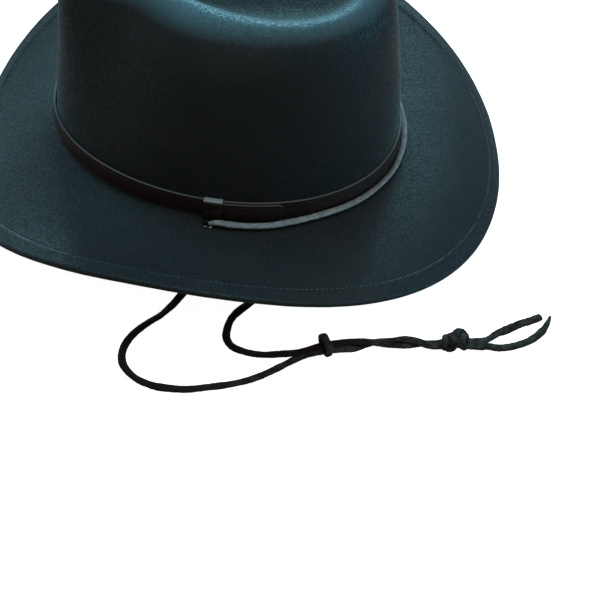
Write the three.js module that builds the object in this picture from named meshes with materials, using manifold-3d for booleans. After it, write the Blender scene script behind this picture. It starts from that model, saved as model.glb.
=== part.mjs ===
// Felt outback hat with a leather band and a chin lace, lying on a level surface.
// Millimetres, +Z up, the hat's front is -Y and the wearer's left is +X.
// The origin lies under the middle of the brim, on the surface that the hat rests on.

import * as THREE from 'three';
import { mergeVertices } from 'three/addons/utils/BufferGeometryUtils.js';
import Module from 'manifold-3d';

// Felt
const FELT_THICKNESS = 2.0;
const EDGE_THICKNESS = 4.0;
const EDGE_FOLD_WIDTH = 12.5;
const BRIM_WIDTH = 71.8;
const SIDES = 72;

// How the hat lies: its nose is turned up a little, and its lowest felt is pressed flat
const NOSE_UP = THREE.MathUtils.degToRad(3.4);
const PRESSED_FLAT = 1.5;

// How far forward the crown's foot lies of the brim's middle
const FOOT_FORWARD = 2.3;

// The oval where the crown meets the brim; it is wider behind, and its sides stand higher than its ends
const FOOT_HALF_LENGTH = 103;
const FOOT_HALF_WIDTH = 86.4;
const FOOT_EGG = 0.052;

// Levels of the crown from its foot up over the shoulder and the rim and down into the hollow of the top.
// rise is how much more height the level has at its ends, and less at its sides; pinch is the depth of the
// two dents beside the front.
const CROWN_LEVELS = [
  { height: 1.2, rise: -3, halfLength: 103, middle: 0, halfWidth: 86.3, egg: FOOT_EGG, pinch: 0 },
  { height: 14, rise: -2.8, halfLength: 102.8, middle: 0, halfWidth: 85, egg: FOOT_EGG, pinch: 0 },
  { height: 32, rise: -2.2, halfLength: 102.2, middle: 0, halfWidth: 81.5, egg: 0.07, pinch: 1.5 },
  { height: 54, rise: -1.2, halfLength: 100.4, middle: -0.6, halfWidth: 76.5, egg: 0.09, pinch: 5 },
  { height: 75, rise: 0, halfLength: 98.8, middle: -1.7, halfWidth: 71, egg: 0.12, pinch: 9 },
  { height: 90, rise: 1, halfLength: 97.4, middle: -2.4, halfWidth: 65.5, egg: 0.15, pinch: 12 },
  { height: 101, rise: 1.8, halfLength: 95, middle: -2.2, halfWidth: 58.5, egg: 0.2, pinch: 13 },
  { height: 108.5, rise: 2.2, halfLength: 90, middle: -1.8, halfWidth: 51, egg: 0.28, pinch: 11 },
  { height: 112.5, rise: 2.5, halfLength: 83.5, middle: -1, halfWidth: 43.5, egg: 0.4, pinch: 7 },
  { height: 113, rise: 2.5, halfLength: 77, middle: 0, halfWidth: 37, egg: 0.52, pinch: 3 },
  { height: 109.5, rise: 2.2, halfLength: 70, middle: 1, halfWidth: 30, egg: 0.55, pinch: 1 },
  { height: 102.5, rise: 1.6, halfLength: 60, middle: 2, halfWidth: 22, egg: 0.52, pinch: 0 },
  { height: 97, rise: 0.8, halfLength: 45, middle: 3, halfWidth: 14, egg: 0.45, pinch: 0 },
  { height: 94.5, rise: 0.3, halfLength: 24, middle: 4, halfWidth: 6.5, egg: 0.3, pinch: 0 },
];
const HOLLOW_BOTTOM = new THREE.Vector3(0, 5, 94);
const PINCH_AT = THREE.MathUtils.degToRad(50);
const PINCH_WIDTH = THREE.MathUtils.degToRad(21);

// Slope of the brim in degrees at the crown and at its edge, upward and outward: a mean and the parts that
// go once, twice and three times round. The front dips down to the surface by a further amount.
const ROOT_SLOPE = [-6.5, -9.4, -11.4, -1.0];
const EDGE_SLOPE = [-12.0, 7.9, -31.0, -1.2];
const FRONT_DIP = 7.2;
const FRONT_DIP_WIDTH = THREE.MathUtils.degToRad(25);
const FOLD_AT = BRIM_WIDTH - EDGE_FOLD_WIDTH;
const BRIM_RINGS = [1.2, 8, 18, 30, 42, 52, FOLD_AT, 66, BRIM_WIDTH - EDGE_THICKNESS / 2];
const SLOPE_STEPS = 24;
const EDGE_ARC_DEGREES = [35, 70, 110, 145];

// Leather band
const BAND_FOOT = 1.8;
const BAND_TOP = 13.4;
const BAND_THICKNESS = 1.6;
const BEVEL = 0.4;
const GAP = 0.3;
const TAIL_FOOT = 2.6;
const TAIL_TOP = 12.4;
const TAIL_THICKNESS = 1.2;
const TAIL_FROM = 89.9;
const TAIL_TO = 114.8;
const KEEPER_FROM = 89.4;
const KEEPER_TO = 95.4;
const KEEPER_THICKNESS = 1.0;
const KEEPER_LIP = 0.75;

// Eyelets in the brim beside the band, one on each side
const EYELET_ANGLE = 91.6;
const EYELET_OUT = 8.6;
const EYELET_HOLE_RADIUS = 2.0;
const EYELET_BARREL_RADIUS = 2.4;
const EYELET_FLANGE_RADIUS = 3.5;
const EYELET_FLANGE_THICKNESS = 0.5;
const EYELET_FLANGE_ROUND = 0.3;
const EYELET_SEGMENTS = 16;
const DRILL_LENGTH = 12;

// Chin lace. Each route is a list of points from where that length of lace starts to where it ends.
const LACE_RADIUS = 1.5;
const LACE_SIDES = 8;
const LACE_STEP = 13.5;
const ROUTE_BACK = [
  [95.1, -1, 45.2], [95.2, 5.5, 45.3], [95.1, 13, 44.5], [93.6, 24, 43.2], [90.9, 35, 42.2],
  [86.2, 45.2, 41.1], [80.6, 54.7, 39.8], [74.6, 63.6, 38.5], [66.1, 74.7, 36.9], [56.1, 84.4, 35.3],
  [43.6, 93.7, 33.8], [30, 100.7, 32.5], [16.7, 104.3, 31.8], [0, 105.9, 31.5], [-16.7, 104.3, 31.8],
  [-30, 100.7, 32.5], [-43.6, 93.7, 33.8], [-56.1, 84.4, 35.3], [-66.1, 74.7, 36.9],
  [-74.6, 63.6, 38.5], [-80.6, 54.7, 39.8], [-86.2, 45.2, 41.1], [-90.9, 35, 42.2], [-93.6, 24, 43.2],
  [-95.1, 13, 44.5], [-95.2, 5.5, 45.3], [-95.1, -1, 45.2],
];
const ROUTE_LEFT = [
  [95.1, 0.6, 43.3], [95.2, 0.5, 32], [95.3, -0.4, 18], [97, -3.6, 7.2], [102, -8, 2.3],
  [111.3, -13.2, 1.6], [120.8, -17.5, 1.6], [129.8, -23.2, 1.6], [136.8, -29.6, 1.6],
  [144.8, -35.5, 1.6], [153.1, -39, 1.6], [161.1, -39.8, 1.6], [168.1, -38.1, 1.6], [174.1, -33.6, 1.6],
  [178.8, -27.4, 1.6], [182.1, -18.4, 1.6], [182.9, -9.2, 1.6], [182.4, 0.8, 1.6], [179.7, 11.4, 1.6],
  [176, 23.8, 1.6], [171.4, 34.4, 1.6], [165.3, 43.7, 1.8], [158.4, 52.4, 2.4], [152.6, 62.3, 3.8],
  [147.3, 74.6, 5.4], [144.6, 82, 4], [141.4, 89.6, 1.9], [137.6, 96.3, 1.6], [134, 102.8, 1.6],
  [132.4, 109.8, 1.8], [131.8, 116.8, 4.2], [134.2, 124.2, 5.6], [136.8, 131.3, 4.9], [136.6, 138.2, 5],
];
const ROUTE_RIGHT = [
  [-95.1, 0.6, 43.3], [-95.2, 0.6, 31], [-94.4, 1.8, 17], [-88, 5.7, 6.5], [-77, 11.2, 2],
  [-60, 18.7, 1.6], [-40, 27.2, 1.6], [-18, 34.7, 1.6], [5, 40.2, 1.6], [30, 43.7, 1.6],
  [55, 44.7, 1.6], [78, 42.7, 1.6], [96.8, 37.3, 1.6], [107.8, 30.8, 1.6], [114.4, 26.4, 1.6],
  [119.8, 22, 1.6], [127.1, 17.8, 1.6], [135.5, 16.4, 1.6], [142.6, 17, 1.6], [148.1, 20.8, 1.6],
  [151.3, 28.3, 1.6], [152.4, 38, 1.6], [151, 48.8, 2.2], [148.6, 59.8, 4.4], [144.7, 73.1, 8.2],
  [141.4, 80.8, 7.3], [139.2, 88.4, 6], [137.9, 96.1, 5.3], [137.8, 103.8, 3.8], [137.2, 111.4, 1.8],
  [136.4, 118.8, 1.6], [133.8, 125.8, 1.6], [132, 131.8, 2.2], [132.4, 138.2, 5],
];
const ROUTE_TAIL_A = [
  [130.2, 153.4, 5.2], [127.6, 158.3, 2.6], [124.8, 164.2, 1.6], [121, 169, 1.6], [116.3, 176, 1.6],
  [112, 181.8, 1.6], [109, 187.4, 1.6], [104.1, 193.2, 1.6],
];
const ROUTE_TAIL_B = [
  [134.4, 153.7, 4.6], [133, 158.6, 2.2], [131.8, 165.2, 1.6], [131.4, 170.4, 1.6], [129.5, 178, 1.6],
  [124, 187.7, 1.6], [115.7, 194.8, 1.6], [109.1, 198.5, 1.6], [103.3, 200.1, 1.6],
];

// The slide that both lengths of lace pass through, and the knot that ties them
const SLIDE_AT = [146, 73.9, 7];
const SLIDE_TURN = THREE.MathUtils.degToRad(30);
const SLIDE_RADIUS = 6.9;
const SLIDE_HOLE_RADIUS = 4.6;
const SLIDE_THICKNESS = 4.5;
const SLIDE_SEGMENTS = 16;
const KNOT_AT = [133.2, 145.9, 6];
const KNOT_RADII = [6.6, 7.0, 5.8];
const KNOT_SEGMENTS = [16, 10];

// Angles round the hat from its front, at which the felt and the band have their points
const ANGLES = Array.from({ length: SIDES }, (_, i) => (i * 2 * Math.PI) / SIDES);

const wasm = await Module();
wasm.setup();

function material(color, roughness, metalness = 0) {
  return new THREE.MeshStandardMaterial({ color, roughness, metalness });
}

const felt = material(0x1c2d31, 0.95);
const strapLeather = material(0x141312, 0.45);
const eyeletBrass = material(0x5a4c33, 0.4, 0.9);
const laceLeather = material(0x333c3b, 0.85);

function piece(name, geometry, finish) {
  const mesh = new THREE.Mesh(geometry, finish);
  mesh.name = name;
  return mesh;
}

function indexedGeometry(points, triangles) {
  const geometry = new THREE.BufferGeometry();
  const numbers = points.flatMap((p) => [p.x, p.y, p.z]);
  geometry.setAttribute('position', new THREE.Float32BufferAttribute(numbers, 3));
  geometry.setIndex(triangles.flat());
  return geometry;
}

function toSolid(geometry) {
  const bare = geometry.clone();
  bare.deleteAttribute('normal');
  bare.deleteAttribute('uv');
  const merged = mergeVertices(bare, 1e-4);
  return new wasm.Manifold(new wasm.Mesh({
    numProp: 3,
    vertProperties: new Float32Array(merged.attributes.position.array),
    triVerts: new Uint32Array(merged.index.array),
  }));
}

function toGeometry(solid) {
  const mesh = solid.getMesh();
  const geometry = new THREE.BufferGeometry();
  geometry.setAttribute('position', new THREE.Float32BufferAttribute(mesh.vertProperties, 3));
  geometry.setIndex(Array.from(mesh.triVerts));
  return geometry;
}

function waves(terms, angle) {
  return terms.reduce((sum, term, turns) => sum + term * Math.cos(turns * angle), 0);
}

function bell(distance, width) {
  return Math.exp(-((distance / width) ** 2));
}

// The same angle between minus and plus half a turn, so that its size is how far it is from the front
function fromFront(angle) {
  return Math.atan2(Math.sin(angle), Math.cos(angle));
}

// Outward level direction of the foot oval at an angle
function outward(angle) {
  const c = Math.cos(angle);
  const s = Math.sin(angle);
  const across = FOOT_HALF_WIDTH * (c * (1 - FOOT_EGG * c) + FOOT_EGG * s * s);
  return new THREE.Vector3(FOOT_HALF_LENGTH * s, -across, 0).normalize();
}

function crownPoint(level, angle) {
  const c = Math.cos(angle);
  const dent = level.pinch * bell(Math.abs(fromFront(angle)) - PINCH_AT, PINCH_WIDTH);
  return new THREE.Vector3(
    level.halfWidth * Math.sin(angle) * (1 - level.egg * c),
    level.middle - level.halfLength * c,
    level.height + level.rise * Math.cos(2 * angle),
  ).addScaledVector(outward(angle), -dent);
}

// Slope of the brim's top in radians at a distance out from the crown, measured along the felt
function brimSlope(angle, distance) {
  const dip = FRONT_DIP * bell(fromFront(angle), FRONT_DIP_WIDTH);
  const root = waves(ROOT_SLOPE, angle) - dip;
  const edge = waves(EDGE_SLOPE, angle) - dip;
  return THREE.MathUtils.degToRad(root + (edge - root) * (distance / BRIM_WIDTH) ** 2);
}

function brimFrame(angle, distance) {
  const slope = brimSlope(angle, distance);
  const level = outward(angle);
  return {
    along: level.clone().multiplyScalar(Math.cos(slope)).setZ(Math.sin(slope)),
    normal: level.clone().multiplyScalar(-Math.sin(slope)).setZ(Math.cos(slope)),
  };
}

function brimPoint(angle, distance) {
  const point = crownPoint({ ...CROWN_LEVELS[0], height: 0, halfWidth: FOOT_HALF_WIDTH }, angle);
  const step = distance / SLOPE_STEPS;
  for (let i = 0; i < SLOPE_STEPS; i += 1) {
    point.addScaledVector(brimFrame(angle, (i + 0.5) * step).along, step);
  }
  return point;
}

// Points of the felt's outer face: rows from the hollow of the crown out to the brim's edge
function outerRows() {
  const crown = CROWN_LEVELS.map((level) => ANGLES.map((angle) => crownPoint(level, angle))).reverse();
  const brim = BRIM_RINGS.map((distance) => ANGLES.map((angle) => brimPoint(angle, distance)));
  return [...crown, ...brim];
}

// Unit normals of the rows, from the neighbouring points
function rowNormals(rows) {
  return rows.map((row, i) => row.map((_, j) => {
    const inner = i > 0 ? rows[i - 1][j] : HOLLOW_BOTTOM;
    const outer = rows[Math.min(i + 1, rows.length - 1)][j];
    const before = row[(j + SIDES - 1) % SIDES];
    const after = row[(j + 1) % SIDES];
    const across = new THREE.Vector3().subVectors(outer, inner);
    return across.cross(new THREE.Vector3().subVectors(after, before)).normalize();
  }));
}

// The felt as one closed skin: outer face, rounded edge, underside with its folded edge, and inner face
function feltGeometry() {
  const rows = outerRows();
  const normals = rowNormals(rows);
  const crownCount = CROWN_LEVELS.length;
  const below = (i, depth) => rows[i].map((p, j) => p.clone().addScaledVector(normals[i][j], -depth));
  const radius = EDGE_THICKNESS / 2;
  const edge = EDGE_ARC_DEGREES.map((degrees) => ANGLES.map((angle) => {
    const turn = THREE.MathUtils.degToRad(degrees);
    const frame = brimFrame(angle, BRIM_WIDTH);
    return brimPoint(angle, BRIM_WIDTH - radius)
      .addScaledVector(frame.normal, radius * (Math.cos(turn) - 1))
      .addScaledVector(frame.along, radius * Math.sin(turn));
  }));
  const skin = [...rows, ...edge];
  for (let i = rows.length - 1; i >= 0; i -= 1) {
    const ring = BRIM_RINGS[i - crownCount];
    if (ring >= FOLD_AT) {
      skin.push(below(i, EDGE_THICKNESS));
    }
    if (ring === undefined || ring <= FOLD_AT) {
      skin.push(below(i, FELT_THICKNESS));
    }
  }
  const ceiling = HOLLOW_BOTTOM.clone().setZ(HOLLOW_BOTTOM.z - FELT_THICKNESS);
  const points = [HOLLOW_BOTTOM, ...skin.flat(), ceiling];
  const last = points.length - 1;
  const triangles = [];
  for (let j = 0; j < SIDES; j += 1) {
    const k = (j + 1) % SIDES;
    triangles.push([0, 1 + j, 1 + k]);
    for (let i = 0; i < skin.length - 1; i += 1) {
      const a = 1 + i * SIDES;
      const b = a + SIDES;
      triangles.push([a + j, b + j, b + k], [a + j, b + k, a + k]);
    }
    const inner = 1 + (skin.length - 1) * SIDES;
    triangles.push([inner + j, last, inner + k]);
  }
  return indexedGeometry(points, triangles);
}

// Turns the geometry up at the nose about the crown's foot
function tipped(geometry) {
  return geometry.rotateX(-NOSE_UP);
}

// Height of the crown's foot above the surface, so that the lowest felt is pressed flat
function footHeight(geometry) {
  geometry.computeBoundingBox();
  return -geometry.boundingBox.min.z - PRESSED_FLAT;
}

function pressFlat(geometry) {
  const position = geometry.attributes.position;
  for (let i = 0; i < position.count; i += 1) {
    position.setZ(i, Math.max(position.getZ(i), 0));
  }
  return geometry;
}

// A length of strap round the crown: section points are [height, distance out] from the crown's wall
function strapGeometry(section, angles, closed) {
  const [foot, top] = CROWN_LEVELS;
  const rows = angles.map((angle) => {
    const low = crownPoint(foot, angle);
    const high = crownPoint(top, angle);
    const out = outward(angle);
    return section.map(([height, distance]) => new THREE.Vector3()
      .lerpVectors(low, high, (height - foot.height) / (top.height - foot.height))
      .addScaledVector(out, distance));
  });
  const count = section.length;
  const triangles = [];
  const spans = closed ? rows.length : rows.length - 1;
  for (let i = 0; i < spans; i += 1) {
    const a = i * count;
    const b = ((i + 1) % rows.length) * count;
    for (let j = 0; j < count; j += 1) {
      const k = (j + 1) % count;
      triangles.push([a + j, b + k, b + j], [a + j, a + k, b + k]);
    }
  }
  if (!closed) {
    const outline = section.map(([height, distance]) => new THREE.Vector2(distance, height));
    const end = (rows.length - 1) * count;
    THREE.ShapeUtils.triangulateShape(outline, []).forEach(([p, q, r]) => {
      triangles.push([p, q, r], [end + p, end + r, end + q]);
    });
  }
  return indexedGeometry(rows.flat(), triangles);
}

// Angles in radians from one angle in degrees to another
function anglesBetween(from, to, count) {
  const step = (to - from) / count;
  return Array.from({ length: count + 1 }, (_, i) => THREE.MathUtils.degToRad(from + i * step));
}

function bevelledSection(foot, top, inner, outer) {
  return [
    [foot, inner], [top, inner], [top, outer - BEVEL],
    [top - BEVEL, outer], [foot + BEVEL, outer], [foot, outer - BEVEL],
  ];
}

function bandGeometry() {
  return strapGeometry(bevelledSection(BAND_FOOT, BAND_TOP, GAP, GAP + BAND_THICKNESS), ANGLES, true);
}

function tailGeometry() {
  const inner = 2 * GAP + BAND_THICKNESS;
  const section = bevelledSection(TAIL_FOOT, TAIL_TOP, inner, inner + TAIL_THICKNESS);
  return strapGeometry(section, anglesBetween(TAIL_FROM, TAIL_TO, 8), false);
}

// The keeper is a clip-shaped loop over the strap and its tail, open toward the crown
function keeperGeometry() {
  const front = 3 * GAP + BAND_THICKNESS + TAIL_THICKNESS;
  const foot = BAND_FOOT - GAP;
  const top = BAND_TOP + GAP;
  const section = [
    [foot - KEEPER_LIP, 1], [foot, 1], [foot, front], [top, front], [top, 1], [top + KEEPER_LIP, 1],
    [top + KEEPER_LIP, front + KEEPER_THICKNESS], [foot - KEEPER_LIP, front + KEEPER_THICKNESS],
  ];
  return strapGeometry(section, anglesBetween(KEEPER_FROM, KEEPER_TO, 3), false);
}

// Puts a geometry made about the Z axis on the brim at an eyelet, its axis square to the felt
function atEyelet(geometry, side) {
  const angle = THREE.MathUtils.degToRad(side * EYELET_ANGLE);
  const { normal } = brimFrame(angle, EYELET_OUT);
  const middle = brimPoint(angle, EYELET_OUT).addScaledVector(normal, -FELT_THICKNESS / 2);
  const turn = new THREE.Quaternion().setFromUnitVectors(new THREE.Vector3(0, 0, 1), normal);
  return geometry.applyQuaternion(turn).translate(middle.x, middle.y, middle.z);
}

// Spins a closed profile of [radius, height] points about the Y axis
function spun(profile, segments) {
  return new THREE.LatheGeometry(profile.map(([x, y]) => new THREE.Vector2(x, y)), segments);
}

function eyeletGeometry(side) {
  const inside = FELT_THICKNESS / 2 + GAP;
  const outside = inside + EYELET_FLANGE_THICKNESS;
  const face = EYELET_FLANGE_RADIUS - EYELET_FLANGE_ROUND;
  const profile = [
    [EYELET_HOLE_RADIUS, -outside], [face, -outside], [EYELET_FLANGE_RADIUS, -inside],
    [EYELET_BARREL_RADIUS, -inside], [EYELET_BARREL_RADIUS, inside], [EYELET_FLANGE_RADIUS, inside],
    [face, outside], [EYELET_HOLE_RADIUS, outside], [EYELET_HOLE_RADIUS, -outside],
  ];
  return atEyelet(spun(profile, EYELET_SEGMENTS).rotateX(Math.PI / 2), side);
}

function eyeletDrill(side) {
  const radius = EYELET_BARREL_RADIUS + GAP;
  const drill = new THREE.CylinderGeometry(radius, radius, DRILL_LENGTH, EYELET_SEGMENTS);
  return toSolid(atEyelet(drill.rotateX(Math.PI / 2), side));
}

function feltWithEyeletHoles() {
  return toGeometry(toSolid(feltGeometry()).subtract(eyeletDrill(1)).subtract(eyeletDrill(-1)));
}

function laceGeometry(route) {
  const path = new THREE.CatmullRomCurve3(route.map((p) => new THREE.Vector3(...p)));
  const outline = Array.from({ length: LACE_SIDES }, (_, i) => {
    const turn = ((i + 0.5) * 2 * Math.PI) / LACE_SIDES;
    return new THREE.Vector2(LACE_RADIUS * Math.cos(turn), LACE_RADIUS * Math.sin(turn));
  });
  return new THREE.ExtrudeGeometry(new THREE.Shape(outline), {
    steps: Math.round(path.getLength() / LACE_STEP),
    extrudePath: path,
  });
}

function slideGeometry() {
  const half = SLIDE_THICKNESS / 2;
  const round = (SLIDE_RADIUS - SLIDE_HOLE_RADIUS) / 3;
  const profile = [
    [SLIDE_HOLE_RADIUS, half - round], [SLIDE_HOLE_RADIUS, round - half],
    [SLIDE_HOLE_RADIUS + round, -half], [SLIDE_RADIUS - round, -half],
    [SLIDE_RADIUS, round - half], [SLIDE_RADIUS, half - round],
    [SLIDE_RADIUS - round, half], [SLIDE_HOLE_RADIUS + round, half],
    [SLIDE_HOLE_RADIUS, half - round],
  ];
  return spun(profile, SLIDE_SEGMENTS);
}

const hat = new THREE.Group();
const skin = tipped(feltWithEyeletHoles());
const footUp = footHeight(skin);
hat.add(piece('felt_body', pressFlat(skin.translate(0, -FOOT_FORWARD, footUp)), felt));

const fittings = new THREE.Group();
fittings.position.set(0, -FOOT_FORWARD, footUp);
fittings.rotation.x = -NOSE_UP;
fittings.add(piece('band_strap', bandGeometry(), strapLeather));
fittings.add(piece('band_tail', tailGeometry(), strapLeather));
fittings.add(piece('band_keeper', keeperGeometry(), strapLeather));
fittings.add(piece('eyelet_left', eyeletGeometry(1), eyeletBrass));
fittings.add(piece('eyelet_right', eyeletGeometry(-1), eyeletBrass));
hat.add(fittings);

hat.add(piece('lace_back', laceGeometry(ROUTE_BACK), laceLeather));
hat.add(piece('lace_left', laceGeometry(ROUTE_LEFT), laceLeather));
hat.add(piece('lace_right', laceGeometry(ROUTE_RIGHT), laceLeather));
hat.add(piece('lace_tail_a', laceGeometry(ROUTE_TAIL_A), laceLeather));
hat.add(piece('lace_tail_b', laceGeometry(ROUTE_TAIL_B), laceLeather));

const slide = piece('lace_slide', slideGeometry(), laceLeather);
slide.rotation.z = SLIDE_TURN;
slide.position.set(...SLIDE_AT);
hat.add(slide);

const knot = piece('lace_knot', new THREE.SphereGeometry(1, ...KNOT_SEGMENTS), laceLeather);
knot.scale.set(...KNOT_RADII);
knot.position.set(...KNOT_AT);
hat.add(knot);

export default hat;
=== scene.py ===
"""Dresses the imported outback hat: felt, edge stitching, leather band, eyelets and chin lace, in a studio.

The frame is in metres, +Z up; the hat's front is -Y and the wearer's left is +X. Sizes below are written
in millimetres, as a hatter would, and every mesh is turned to metres when it is made.
"""

import logging
import math
from abc import ABC, abstractmethod
from collections.abc import Callable, Sequence
from dataclasses import dataclass, field
from enum import Enum
from typing import Any, NamedTuple

import bpy
import numpy as np
from mathutils import Matrix, Vector, noise
from mathutils.kdtree import KDTree


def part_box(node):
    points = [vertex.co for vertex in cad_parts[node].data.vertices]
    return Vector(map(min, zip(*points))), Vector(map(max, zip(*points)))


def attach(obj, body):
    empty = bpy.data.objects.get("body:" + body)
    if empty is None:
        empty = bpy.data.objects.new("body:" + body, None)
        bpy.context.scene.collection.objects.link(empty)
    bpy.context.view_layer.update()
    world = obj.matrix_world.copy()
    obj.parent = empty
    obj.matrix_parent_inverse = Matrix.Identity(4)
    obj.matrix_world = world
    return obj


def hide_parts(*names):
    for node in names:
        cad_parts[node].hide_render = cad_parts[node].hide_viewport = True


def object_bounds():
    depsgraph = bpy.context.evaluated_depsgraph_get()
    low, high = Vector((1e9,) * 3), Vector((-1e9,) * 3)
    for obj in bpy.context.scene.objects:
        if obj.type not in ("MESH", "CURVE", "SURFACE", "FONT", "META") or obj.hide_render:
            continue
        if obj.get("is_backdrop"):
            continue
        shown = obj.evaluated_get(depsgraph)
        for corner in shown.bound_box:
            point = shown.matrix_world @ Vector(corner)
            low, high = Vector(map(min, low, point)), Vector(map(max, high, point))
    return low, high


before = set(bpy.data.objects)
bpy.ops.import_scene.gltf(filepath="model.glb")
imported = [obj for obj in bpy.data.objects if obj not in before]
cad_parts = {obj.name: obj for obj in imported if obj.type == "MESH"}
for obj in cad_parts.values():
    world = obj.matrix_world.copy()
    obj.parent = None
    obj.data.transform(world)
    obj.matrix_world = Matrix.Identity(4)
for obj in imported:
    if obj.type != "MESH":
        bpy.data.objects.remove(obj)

MM = 0.001
MERGE_REACH = 0.002 * MM
# How far the lace is kept off the floor, in millimetres
OFF_FLOOR = 0.05
# Vertex attribute for the leather's pale edge colour, which is partly a painted highlight
PALE_EDGE_MARK = "pale_edge_and_highlight"
# Vertex attribute that carries the painted shade on the lace
SHADE_MARK = "oiled"
LOG = logging.getLogger("outback_hat")

Array = np.ndarray
Place = Callable[[Array, Array], Array]


class Slot(Enum):
    """The material slots."""

    FELT = "felt"
    STRAP = "strap_leather"
    LACE = "lace_leather"
    METAL = "eyelet_metal"


class Side(Enum):
    """The wearer's left or right, as a sign along X."""

    LEFT = 1
    RIGHT = -1


class Face(Enum):
    """The two faces of split leather."""

    FLESH = "flesh"
    GRAIN = "grain"


def linear(hex_colour: int) -> tuple[float, float, float, float]:
    """Turns an sRGB hex colour to Blender's linear one.

    Args:
        hex_colour: the colour as 0xRRGGBB.

    Returns:
        Red, green, blue and alpha, linear, from 0 to 1.
    """
    parts = [(hex_colour >> shift & 0xFF) / 255 for shift in (16, 8, 0)]
    red, green, blue = (p / 12.92 if p <= 0.04045 else ((p + 0.055) / 1.055) ** 2.4 for p in parts)
    return red, green, blue, 1.0


def add_node(
    tree: bpy.types.NodeTree, kind: str, inputs: dict[Any, Any] | None = None, output: int | str = 0,
    **settings: Any,
) -> bpy.types.NodeSocket | None:
    """Adds a shader node with its settings and links.

    Args:
        tree: the material's node tree.
        kind: the node's type after the word ShaderNode, such as TexNoise.
        inputs: input names or numbers; a value that is a socket is linked, any other is set.
        output: name or number of the output that is wanted.
        settings: properties of the node itself.

    Returns:
        That output, or None from a node that has none.
    """
    node = tree.nodes.new(f"ShaderNode{kind}")
    for name, value in settings.items():
        setattr(node, name, value)
    for key, value in (inputs or {}).items():
        if isinstance(value, bpy.types.NodeSocket):
            tree.links.new(value, node.inputs[key])
        else:
            node.inputs[key].default_value = value
    return node.outputs[output] if len(node.outputs) else None


def per_metre(size_mm: float) -> float:
    """A noise scale whose grains are this many millimetres across."""
    return 1.0 / (size_mm * MM)


# Finishes


@dataclass(frozen=True)
class Finish(ABC):
    """What a surface is made of and how it was made."""

    @property
    @abstractmethod
    def title(self) -> str:
        """The material's name: what it is and how it was made."""

    @abstractmethod
    def shade(self, tree: bpy.types.NodeTree) -> bpy.types.NodeSocket:
        """Builds the nodes.

        Args:
            tree: the empty node tree of a new material.

        Returns:
            The output that is the surface.
        """

    def material(self) -> bpy.types.Material:
        """Makes the material.

        Returns:
            The material, or the one of that name if it has been made before.
        """
        known = bpy.data.materials.get(self.title)
        if known:
            return known
        made = bpy.data.materials.new(self.title)
        made.use_nodes = True
        made.node_tree.nodes.clear()
        add_node(made.node_tree, "OutputMaterial", {"Surface": self.shade(made.node_tree)})
        return made


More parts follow.
